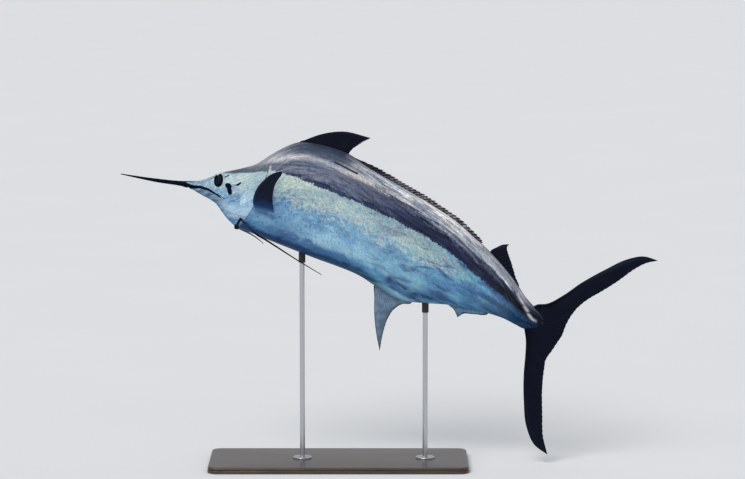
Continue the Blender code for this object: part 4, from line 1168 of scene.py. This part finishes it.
def slab_mesh(name, slabs, joined=False):
    """A mesh of slabs, each between two faces; joined ones are open where they meet."""
    vertices, faces, count = [], [], 0
    for (front, back), _marks in slabs:
        loop = np.concatenate((front, back[:, ::-1]), axis=1)
        rows, corners = loop.shape[:2]
        index = count + np.arange(rows * corners).reshape(rows, corners)
        after = np.roll(index, -1, axis=1)
        sides = np.stack((index[:-1], after[:-1], after[1:], index[1:]), axis=-1)
        k = np.arange(corners // 2 - 1)
        root, tip = (np.stack((row[k], row[k + 1], row[corners - 2 - k], row[corners - 1 - k]),
                              axis=-1) for row in (index[0], index[-1]))
        if joined:
            sides = np.delete(sides, corners // 2 - 1, axis=1)
        else:
            faces.append(root[:, ::-1])
        faces += [sides.reshape(-1, 4), tip]
        vertices.append(loop.reshape(-1, 3))
        count += rows * corners
    mesh = mesh_of(name, np.concatenate(vertices), faces)
    for key in slabs[0][1]:
        values = [np.concatenate((marks[key], marks[key][:, ::-1]), axis=1).ravel()
                  for _faces, marks in slabs]
        set_attribute(mesh, key, np.concatenate(values))
    return outward(mesh, JOIN_DISTANCE if joined else 0.0)


def outward(mesh, join=0.0):
    """Turn a closed mesh's faces out, and join points that lie together."""
    shape = bmesh.new()
    shape.from_mesh(mesh)
    if join:
        bmesh.ops.remove_doubles(shape, verts=shape.verts, dist=join)
    bmesh.ops.recalc_face_normals(shape, faces=shape.faces)
    shape.to_mesh(mesh)
    shape.free()
    return mesh


def sunk(x, z, belly):
    """A fin's root point, under the skin of the back or the belly beside (x, z)."""
    back, foot, _half = section(flank_place(x, z)[0])
    up = unit(back - foot)
    return foot + up * FIN_ROOT_SINK if belly else back - up * FIN_ROOT_SINK


def median_fin(name, fin, belly, material, node):
    """A fin standing in the middle plane, rooted under the skin."""
    edges = [np.vstack((sunk(*fin[edge][0], belly), in_plane(fin[edge])))
             for edge in ("leading", "trailing")]
    piece(name, slab_mesh(name, [fin_shape(fin, *edges)]), material, (node,))


def make_tail(material):
    """Both lobes of the tail as one fin, joined along the tail's axis."""
    ahead = np.array((math.cos(TAIL_SLOPE), 0.0, math.sin(TAIL_SLOPE)))
    upward = np.array((-math.sin(TAIL_SLOPE), 0.0, math.cos(TAIL_SLOPE)))
    pivot = np.array((TAIL_PIVOT[0], 0.0, TAIL_PIVOT[1]))
    lobes = []
    for lobe, way in ((UPPER_LOBE, upward), (LOWER_LOBE, -upward)):
        tables = [np.array(lobe[edge]) for edge in ("leading", "trailing")]
        edges = [pivot + table[:, :1] * ahead + table[:, 1:] * way for table in tables]
        lobes.append(fin_shape(LOBE, *edges))
    piece("tail_fin", slab_mesh("tail_fin", lobes, joined=True), material,
          ("tail_fin_upper", "tail_fin_lower"))


def make_pectoral(side, material):
    """A stiff pectoral fin, raised out from the flank."""
    end = "left" if side < 0 else "right"
    front, back = (flank_point(*root, side, -FIN_ROOT_SINK) for root in PECTORAL_ROOT)
    tip = np.array((PECTORAL_TIP[0], -side * PECTORAL_TIP[1], PECTORAL_TIP[2]))
    span = tip - front
    ahead = unit(front - back) * np.linalg.norm(span)
    edges = [[front + span * u + ahead * v for u, v in edge]
             for edge in (PECTORAL_LEADING, PECTORAL_TRAILING)]
    fin = fin_shape(PECTORAL, *edges, unit(np.cross(span, ahead)))
    mesh = slab_mesh("pectoral_" + end, [fin])
    piece("pectoral_" + end, mesh, material, ("pectoral_fin_" + end,))


def make_ridge(material):
    """The low rear of the first dorsal fin: raked rays with notched membranes between."""
    first, last = flank_place(*RIDGE_START)[0], flank_place(*RIDGE_END)[0]
    over, out = np.meshgrid(np.linspace(0.0, 1.0, RIDGE_RAYS * RIDGE_COLUMNS + 1),
                            np.linspace(0.0, 1.0, RIDGE_ROWS))
    s = first + (last - first) * over
    back, foot, _half = section(s)
    up = unit(back - foot)
    ahead = unit(section(s + RIDGE_NUDGE)[0] - back)
    phase = over * RIDGE_RAYS
    ridge = (0.5 + 0.5 * np.cos(2 * math.pi * phase)) ** RIDGE_SHARPNESS
    ends = np.minimum(smooth(over, *RIDGE_RISE), RIDGE_LAST_RAY + RIDGE_END_SLOPE * (1 - over))
    height = RIDGE_HEIGHT * (1 - RIDGE_FALL * over) * np.minimum(1.0, ends)
    uneven = np.random.default_rng(7).uniform(*RIDGE_UNEVEN, RIDGE_RAYS + 2)
    height *= np.interp(phase, np.arange(RIDGE_RAYS + 2), uneven)
    height *= 1 - RIDGE_NOTCH * (1 - ridge ** RIDGE_NOTCH_SHAPE)
    tip = back + up * height[..., None] + ahead * (RIDGE_RAKE * height / RIDGE_HEIGHT)[..., None]
    middle = lerp(back - up * FIN_ROOT_SINK, tip, out)
    crest = RIDGE_MEMBRANE + (1 - RIDGE_MEMBRANE) * ridge
    body = RIDGE_ROOT_HALF * (1 - out) + RIDGE_RAY_HALF * (1 - out**3) * ridge
    marks = {"out": out, "chord": over, "ridge": ridge}
    mesh = slab_mesh("dorsal_ridge", [(two_faces(middle, FIN_EDGE_HALF + body * crest), marks)])
    piece("dorsal_ridge", mesh, material, ("dorsal_fin_ridge",))


def tube(name, grid):
    """A closed mesh of rings of points."""
    return outward(mesh_of(name, tube_vertices(grid), tube_faces(*grid.shape[:2])))


def make_pelvic(name, path, material, node, knob=0.0):
    """A pelvic fin: a narrow tapering blade of a few rays bound together."""
    steps, corners = PELVIC_GRID
    t = np.linspace(0.0, 1.0, steps)
    ahead = (through(path, np.minimum(1.0, t + PELVIC_NUDGE))
             - through(path, np.maximum(0.0, t - PELVIC_NUDGE)))
    flat = unit(np.cross(-LEFT, ahead))
    out = unit(np.cross(ahead, flat))
    turn = 2 * math.pi * np.arange(corners) / corners
    grooves = 1 - PELVIC_GROOVE * (0.5 - 0.5 * np.cos(PELVIC_RAYS * turn))
    taper = 1 - PELVIC_TAPER * t
    taper[-3:] *= PELVIC_TIP
    swell = knob * bell(t - PELVIC_KNOB_AT, PELVIC_KNOB_REACH)
    wide = np.outer(taper * PELVIC_HALF_WIDTH + PELVIC_KNOB_WIDTH * swell, np.cos(turn) * grooves)
    thick = np.outer(taper * PELVIC_HALF_THICKNESS + swell, np.sin(turn) * grooves)
    mesh = tube(name, through(path, t)[:, None] + flat[:, None] * wide[..., None]
                + out[:, None] * thick[..., None])
    set_attribute(mesh, "out", tube_vertices(np.repeat(t[:, None], corners, axis=1)[..., None]))
    piece(name, mesh, material, (node,))


def fin_material(name, dark, light, root=None):
    """A dark fin: rays a little lighter than the membranes, mottled and glossy."""
    p = Paint(name, specular=0.06, sheen=COOL)
    blotch, grain = p.noise(18.0), p.noise(160.0)
    rays = p.attribute("ridge").step(0.25, 0.9) * grain.step(0.3, 0.75, 0.25, 0.85)
    colour = p.mix(rays, dark, light)
    colour = p.mix(blotch.step(0.5, 0.75, 0.0, 0.5), colour, light)
    if root:
        colour = p.mix(p.attribute("out").step(0.26, 0.12), colour, root)
    return p.finish(colour, blotch * 0.22 + 0.32, p.bump(grain, 0.0012))


def pectoral_material():
    """Black to deep blue, with pale scaled skin at the root."""
    p = Paint("pectoral", specular=0.05, sheen=COOL)
    reach, cloudy = p.attribute("reach"), p.noise(30.0)
    colour = p.ramp(reach + cloudy.centred(0.06), PECTORAL_STOPS)
    rays = p.attribute("ridge").step(0.3, 0.95) * reach.step(0.05, 0.3, 0.1, 0.35)
    colour = p.mix(rays, colour, (0.014, 0.02, 0.042))
    scales = p.scales(p.solid((1.0, 1.0, 0.5)), 160.0)
    pale = scales.step(0.05, 0.3) * (reach.step(0.12, 0.03) * 0.4)
    colour = p.mix(pale, colour, (0.2, 0.37, 0.5))
    return p.finish(colour, cloudy * 0.2 + 0.24, p.bump(p.noise(170.0), 0.001))


def anal_material(name, blue):
    """Grey-blue and a little pale between the rays, with a thin dark edge."""
    p = Paint(name, specular=0.12)
    cloudy = p.noise(24.0)
    mottle_dark = tuple(ANAL_MOTTLE_DARK * level for level in blue)
    colour = p.mix(cloudy.step(0.38, 0.62), mottle_dark, blue)
    for part, edges, darker in (("ridge", (0.3, 0.95, 0.0, 0.4), (0.06, 0.085, 0.135)),
                                ("out", (0.5, 1.0, 0.0, 0.65), (0.058, 0.07, 0.105)),
                                ("chord", (0.05, 0.0, 0.0, 0.85), (0.02, 0.028, 0.055)),
                                ("rim", (0.013, 0.005), (0.012, 0.016, 0.036))):
        colour = p.mix(p.attribute(part).step(*edges), colour, darker)
    return p.finish(colour, cloudy * 0.2 + 0.3, p.bump(p.noise(150.0), 0.001))


def ridge_material():
    """Dark rays with paler grey membranes between them, paler toward the tail."""
    p = Paint("dorsal_ridge", specular=0.12)
    grain, patches = p.noise(60.0), p.noise(16.0, 3.0)
    bony = p.attribute("ridge") + grain.centred(1.1)
    membrane = p.mix(grain.step(0.38, 0.62), (0.07, 0.062, 0.074), (0.42, 0.41, 0.45))
    colour = p.over(membrane, (patches.step(0.46, 0.6, 0.0, 0.85), (0.052, 0.044, 0.054)),
                    (p.attribute("chord").step(0.34, 0.16), (0.022, 0.02, 0.03)),
                    (bony.step(0.5, 0.9), (0.006, 0.006, 0.012)),
                    (p.attribute("out").step(0.78, 1.0, 0.0, 0.75), (0.01, 0.01, 0.018)))
    return p.finish(colour, 0.45, p.bump(p.noise(170.0), 0.001))


def mesh_from(shape, name):
    """A mesh of a bmesh, which is freed."""
    mesh = bpy.data.meshes.new(name)
    shape.to_mesh(mesh)
    shape.free()
    return mesh


def make_eye(side, material):
    """A wet eye: a dark ball with a round pupil in a dim iris with a faintly lighter ring."""
    end = "left" if side < 0 else "right"
    low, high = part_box("eye_" + end)
    middle = (Vector(low) + Vector(high)) / 2
    shape = bmesh.new()
    bmesh.ops.create_uvsphere(shape, u_segments=96, v_segments=64, radius=1.0)
    radial = [math.hypot(v.co.x, v.co.y) if v.co.z > 0.0 else 1.0 for v in shape.verts]
    bmesh.ops.scale(shape, vec=EYE_HALVES, verts=shape.verts)
    turn = flank_normal(*EYE_CENTRE, side).to_track_quat("Z", "Y").to_matrix().to_4x4()
    turn = turn @ Matrix.Rotation(-side * EYE_LEAN, 4, "Z")
    bmesh.ops.transform(shape, matrix=Matrix.Translation(middle) @ turn, verts=shape.verts)
    mesh = mesh_from(shape, "eyeball_" + end)
    mesh.shade_smooth()
    set_attribute(mesh, "radial", radial)
    piece("eyeball_" + end, mesh, material, ("eye_" + end,))


def eye_material():
    """Pupil, iris and rim by distance from the eye's axis, under a clear wet coat."""
    p = Paint("eye", coat=0.06, coat_roughness=0.04, specular=0.05, sheen=COOL)
    radial, fibres = p.attribute("radial"), p.noise(260.0, 5.0, 0.7, 0.8)
    shade = fibres.step(0.45, 0.75, 0.0, 0.4) * radial.step(0.42, 0.52)
    return p.finish(p.mix(shade, p.ramp(radial, EYE_STOPS), (0.016, 0.026, 0.06)), 0.22)


def turned(name, profile, segments, x, material, replaces=()):
    """A turned piece at x: (radius, z) points from bottom to top, closed at both ends."""
    turn = 2 * math.pi * np.arange(segments) / segments
    grid = np.array([[(x + r * math.cos(a), r * math.sin(a), z) for a in turn] for r, z in profile])
    mesh = tube(name, grid)
    mesh.set_sharp_from_angle(angle=TURNED_EDGE)
    piece(name, mesh, material, replaces)


def rounded(centre_r, centre_z, radius, start, stop, steps=6):
    """Points of a rounded edge of a turned profile, by angles in degrees."""
    angles = [math.radians(start + (stop - start) * k / steps) for k in range(steps + 1)]
    return [(centre_r + radius * math.cos(a), centre_z + radius * math.sin(a)) for a in angles]


def steel_material():
    """Brushed steel: fine lines round the rod and soft smudges."""
    p = Paint("brushed_steel", metallic=1.0)
    lines = p.noise(1.0, 3.0, at=p.solid((20.0, 20.0, 500.0)))
    colour = p.mix(lines, (0.46, 0.47, 0.49), (0.62, 0.63, 0.65))
    return p.finish(colour, p.noise(14.0, 3.0, 0.5) * 0.16 + 0.2, p.bump(lines, 0.0001, 0.1))


def wood_material():
    """Dark stained oak under satin lacquer."""
    p = Paint("stained_wood", coat=0.3, coat_roughness=0.16, specular=0.45)
    grain = p.noise(3.0, 6.0, 0.62, 1.1, p.solid((1.3, 22.0, 22.0)))
    pores = p.noise(1.0, 3.0, at=p.solid((9.0, 320.0, 320.0)))
    colour = p.mix(pores.step(0.58, 0.72, 0.0, 0.6), p.ramp(grain, WOOD_STOPS),
                   (0.01, 0.006, 0.004))
    return p.finish(colour, grain * 0.16 + 0.26, p.bump(pores, 0.0006, 0.3))


def rounded_outline(long, wide, radius, steps=12):
    """A rectangle's outline with round corners, about the origin."""
    points = []
    for quarter in range(4):
        cx = (long / 2 - radius) * (1 if quarter in (0, 3) else -1)
        cy = (wide / 2 - radius) * (1 if quarter in (0, 1) else -1)
        for k in range(steps + 1):
            a = math.pi / 2 * (quarter + k / steps)
            points.append((cx + radius * math.cos(a), cy + radius * math.sin(a)))
    return points


def make_base(material):
    """The base plate, with a moulded edge: a foot, a hollow, and a softly rounded top."""
    low, high = (Vector(c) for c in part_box("stand_base"))
    centre, size = (low + high) / 2, high - low
    foot, hollow, hollow_tall = (share * size.z for share in BASE_SHARES)
    profile = [(BASE_CHAMFER, 0.0), (0.0, BASE_CHAMFER), (0.0, foot), (BASE_LEDGE, hollow)]
    share = np.linspace(0.0, 1.0, BASE_STEPS + 1)
    profile += zip(BASE_LEDGE + BASE_HOLLOW * np.sin(math.pi * share), hollow + hollow_tall * share)
    profile += zip(BASE_LEDGE + BASE_ROUND * (1 - np.cos(math.pi / 2 * share)),
                   size.z - BASE_ROUND * (1 - np.sin(math.pi / 2 * share)))
    rings = []
    for inset, z in profile:
        outline = rounded_outline(size.x - 2 * inset, size.y - 2 * inset, BASE_CORNER - inset)
        rings.append([(centre.x + x, centre.y + y, z) for x, y in outline])
    mesh = tube("base", np.array(rings))
    mesh.set_sharp_from_angle(angle=BASE_EDGE)
    piece("base", mesh, material, ("stand_base",))


def make_rod(end, steel, rubber):
    """A rod with its flange, four screws and a soft collar under the belly."""
    rod = "rod_" + end
    (_x, foot_low, bottom), (_x, foot_high, top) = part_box("stand_" + rod + "_foot")
    low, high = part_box("stand_" + rod)
    x = (low[0] + high[0]) / 2
    radius = (high[1] - low[1]) / 2
    flange = (foot_high - foot_low) / 2
    shoulder = bottom + FLANGE_SHARE * (top - bottom)
    collar = shoulder + FLANGE_STEP
    profile = [(flange - FLANGE_CHAMFER, bottom), (flange, bottom + FLANGE_CHAMFER),
               (flange, shoulder)]
    profile += rounded(flange - FLANGE_ROUND, shoulder, FLANGE_ROUND, 0, 90)
    profile += [(flange * COLLAR_FOOT, collar)]
    profile += rounded(radius + COLLAR_REACH, top, top - collar, -90, -150, 4)
    profile += [(radius + outward_by, top - below) for outward_by, below in COLLAR_LIP]
    turned(rod + "_flange", profile, 96, x, steel, ("stand_" + rod + "_foot",))
    for k in range(4):
        a = math.pi / 4 + k * math.pi / 2
        at = (x + SCREW_RING * flange * math.cos(a), SCREW_RING * flange * math.sin(a),
              shoulder + SCREW_RISE)
        make_screw(rod + "_screw_" + str(k + 1), at, steel)
    shaft = [(radius, z) for z in np.linspace(low[2], high[2], 13)]
    turned(rod, shaft, 64, x, steel, ("stand_" + rod,))
    belly = float(rod_top(x))
    sleeve = [(radius + thick, belly + z) for thick, z in SLEEVE_PROFILE]
    turned(rod + "_sleeve", sleeve, 64, x, rubber)


def rod_top(x):
    """How high the belly's middle line is over a rod."""
    belly = section(np.linspace(0.5, BODY_LENGTH, 2000))[1]
    return np.interp(x, belly[:, 0], belly[:, 2])


def make_screw(name, at, steel):
    """A countersunk screw with a crossed slot, seen from above."""
    shape = bmesh.new()
    bmesh.ops.create_cone(shape, cap_ends=True, **SCREW_HEAD)
    top = [f for f in shape.faces if f.normal.z > 0.9]
    for thickness, depth in SCREW_CUTS:
        bmesh.ops.inset_region(shape, faces=top, thickness=thickness, depth=depth)
    bmesh.ops.translate(shape, vec=at, verts=shape.verts)
    piece(name, mesh_from(shape, name), steel)


def rubber_material():
    """A matt black sleeve that cushions the rod's top."""
    p = Paint("black_sleeve", specular=0.3)
    grain = p.noise(400.0, 3.0)
    colour = p.mix(grain, (0.012, 0.012, 0.013), (0.026, 0.026, 0.028))
    return p.finish(colour, 0.65, p.bump(grain, 0.0004, 0.4))


def make_floor():
    """A wide pale floor."""
    shape = bmesh.new()
    bmesh.ops.create_grid(shape, x_segments=8, y_segments=8, size=220.0)
    mesh = mesh_from(shape, "floor")
    p = Paint("pale_floor", specular=0.1)
    tone = p.noise(0.8, 3.0, 0.5)
    mesh.materials.append(p.finish(p.mix(tone, (0.78, 0.79, 0.8), (0.81, 0.82, 0.83)), 0.85))
    placed("floor", mesh)


def make_camera():
    """The camera at the photograph's angle and framing."""
    data = bpy.data.cameras.new("camera")
    data.lens = LENS
    data.sensor_width = SENSOR
    data.clip_end = 1000.0
    camera = placed("camera", data)
    away = LENS / SENSOR * VIEW_WIDTH
    camera.location = Vector(VIEW_TARGET) + away * Vector(
        (0.0, -math.cos(VIEW_DOWN), math.sin(VIEW_DOWN)))
    camera.rotation_euler = (math.pi / 2 - VIEW_DOWN, 0.0, 0.0)
    bpy.context.scene.camera = camera


def make_lights():
    """Plain soft studio light: one wide key from the left of the camera, and the room."""
    data = bpy.data.lights.new("key", "SUN")
    data.energy = KEY_STRENGTH
    data.angle = KEY_SPREAD
    data.color = KEY_COLOUR
    placed("key", data).rotation_euler = Vector(KEY_FROM).to_track_quat("Z", "Y").to_euler()
    world = bpy.data.worlds.new("room")
    world.use_nodes = True
    background = world.node_tree.nodes["Background"]
    background.inputs["Color"].default_value = (*ROOM_COLOUR, 1.0)
    background.inputs["Strength"].default_value = 1.0
    bpy.context.scene.world = world
    bpy.context.scene.view_settings.view_transform = "Standard"


make_skin()
EYE_PAINT, PECTORAL_PAINT = eye_material(), pectoral_material()
for eye_side in (-1, 1):
    make_eye(eye_side, EYE_PAINT)
    make_pectoral(eye_side, PECTORAL_PAINT)
DARK_FIN = fin_material("dark_fin", (0.005, 0.005, 0.011), (0.015, 0.016, 0.028))
median_fin("first_dorsal", FIRST_DORSAL, False, DARK_FIN, "dorsal_fin_first")
median_fin("second_dorsal", SECOND_DORSAL, False, DARK_FIN, "dorsal_fin_second")
median_fin("first_anal", FIRST_ANAL, True, anal_material("anal_fin", (0.175, 0.27, 0.385)),
           "anal_fin_first")
median_fin("second_anal", SECOND_ANAL, True,
           anal_material("second_anal_fin", (0.125, 0.26, 0.41)), "anal_fin_second")
make_ridge(ridge_material())
make_tail(fin_material("tail_fin", (0.005, 0.006, 0.012), (0.009, 0.011, 0.02)))
make_pelvic("pelvic_left", PELVIC_LEFT,
            fin_material("pelvic_fin", (0.004, 0.005, 0.011), (0.01, 0.012, 0.022),
                         (0.012, 0.036, 0.105)), "pelvic_fin_left")
make_pelvic("pelvic_right", PELVIC_RIGHT, DARK_FIN, "pelvic_fin_right", PELVIC_KNOB)
make_base(wood_material())
STEEL, SLEEVE = steel_material(), rubber_material()
for rod_end in ("front", "rear"):
    make_rod(rod_end, STEEL, SLEEVE)
make_floor()
make_lights()
make_camera()
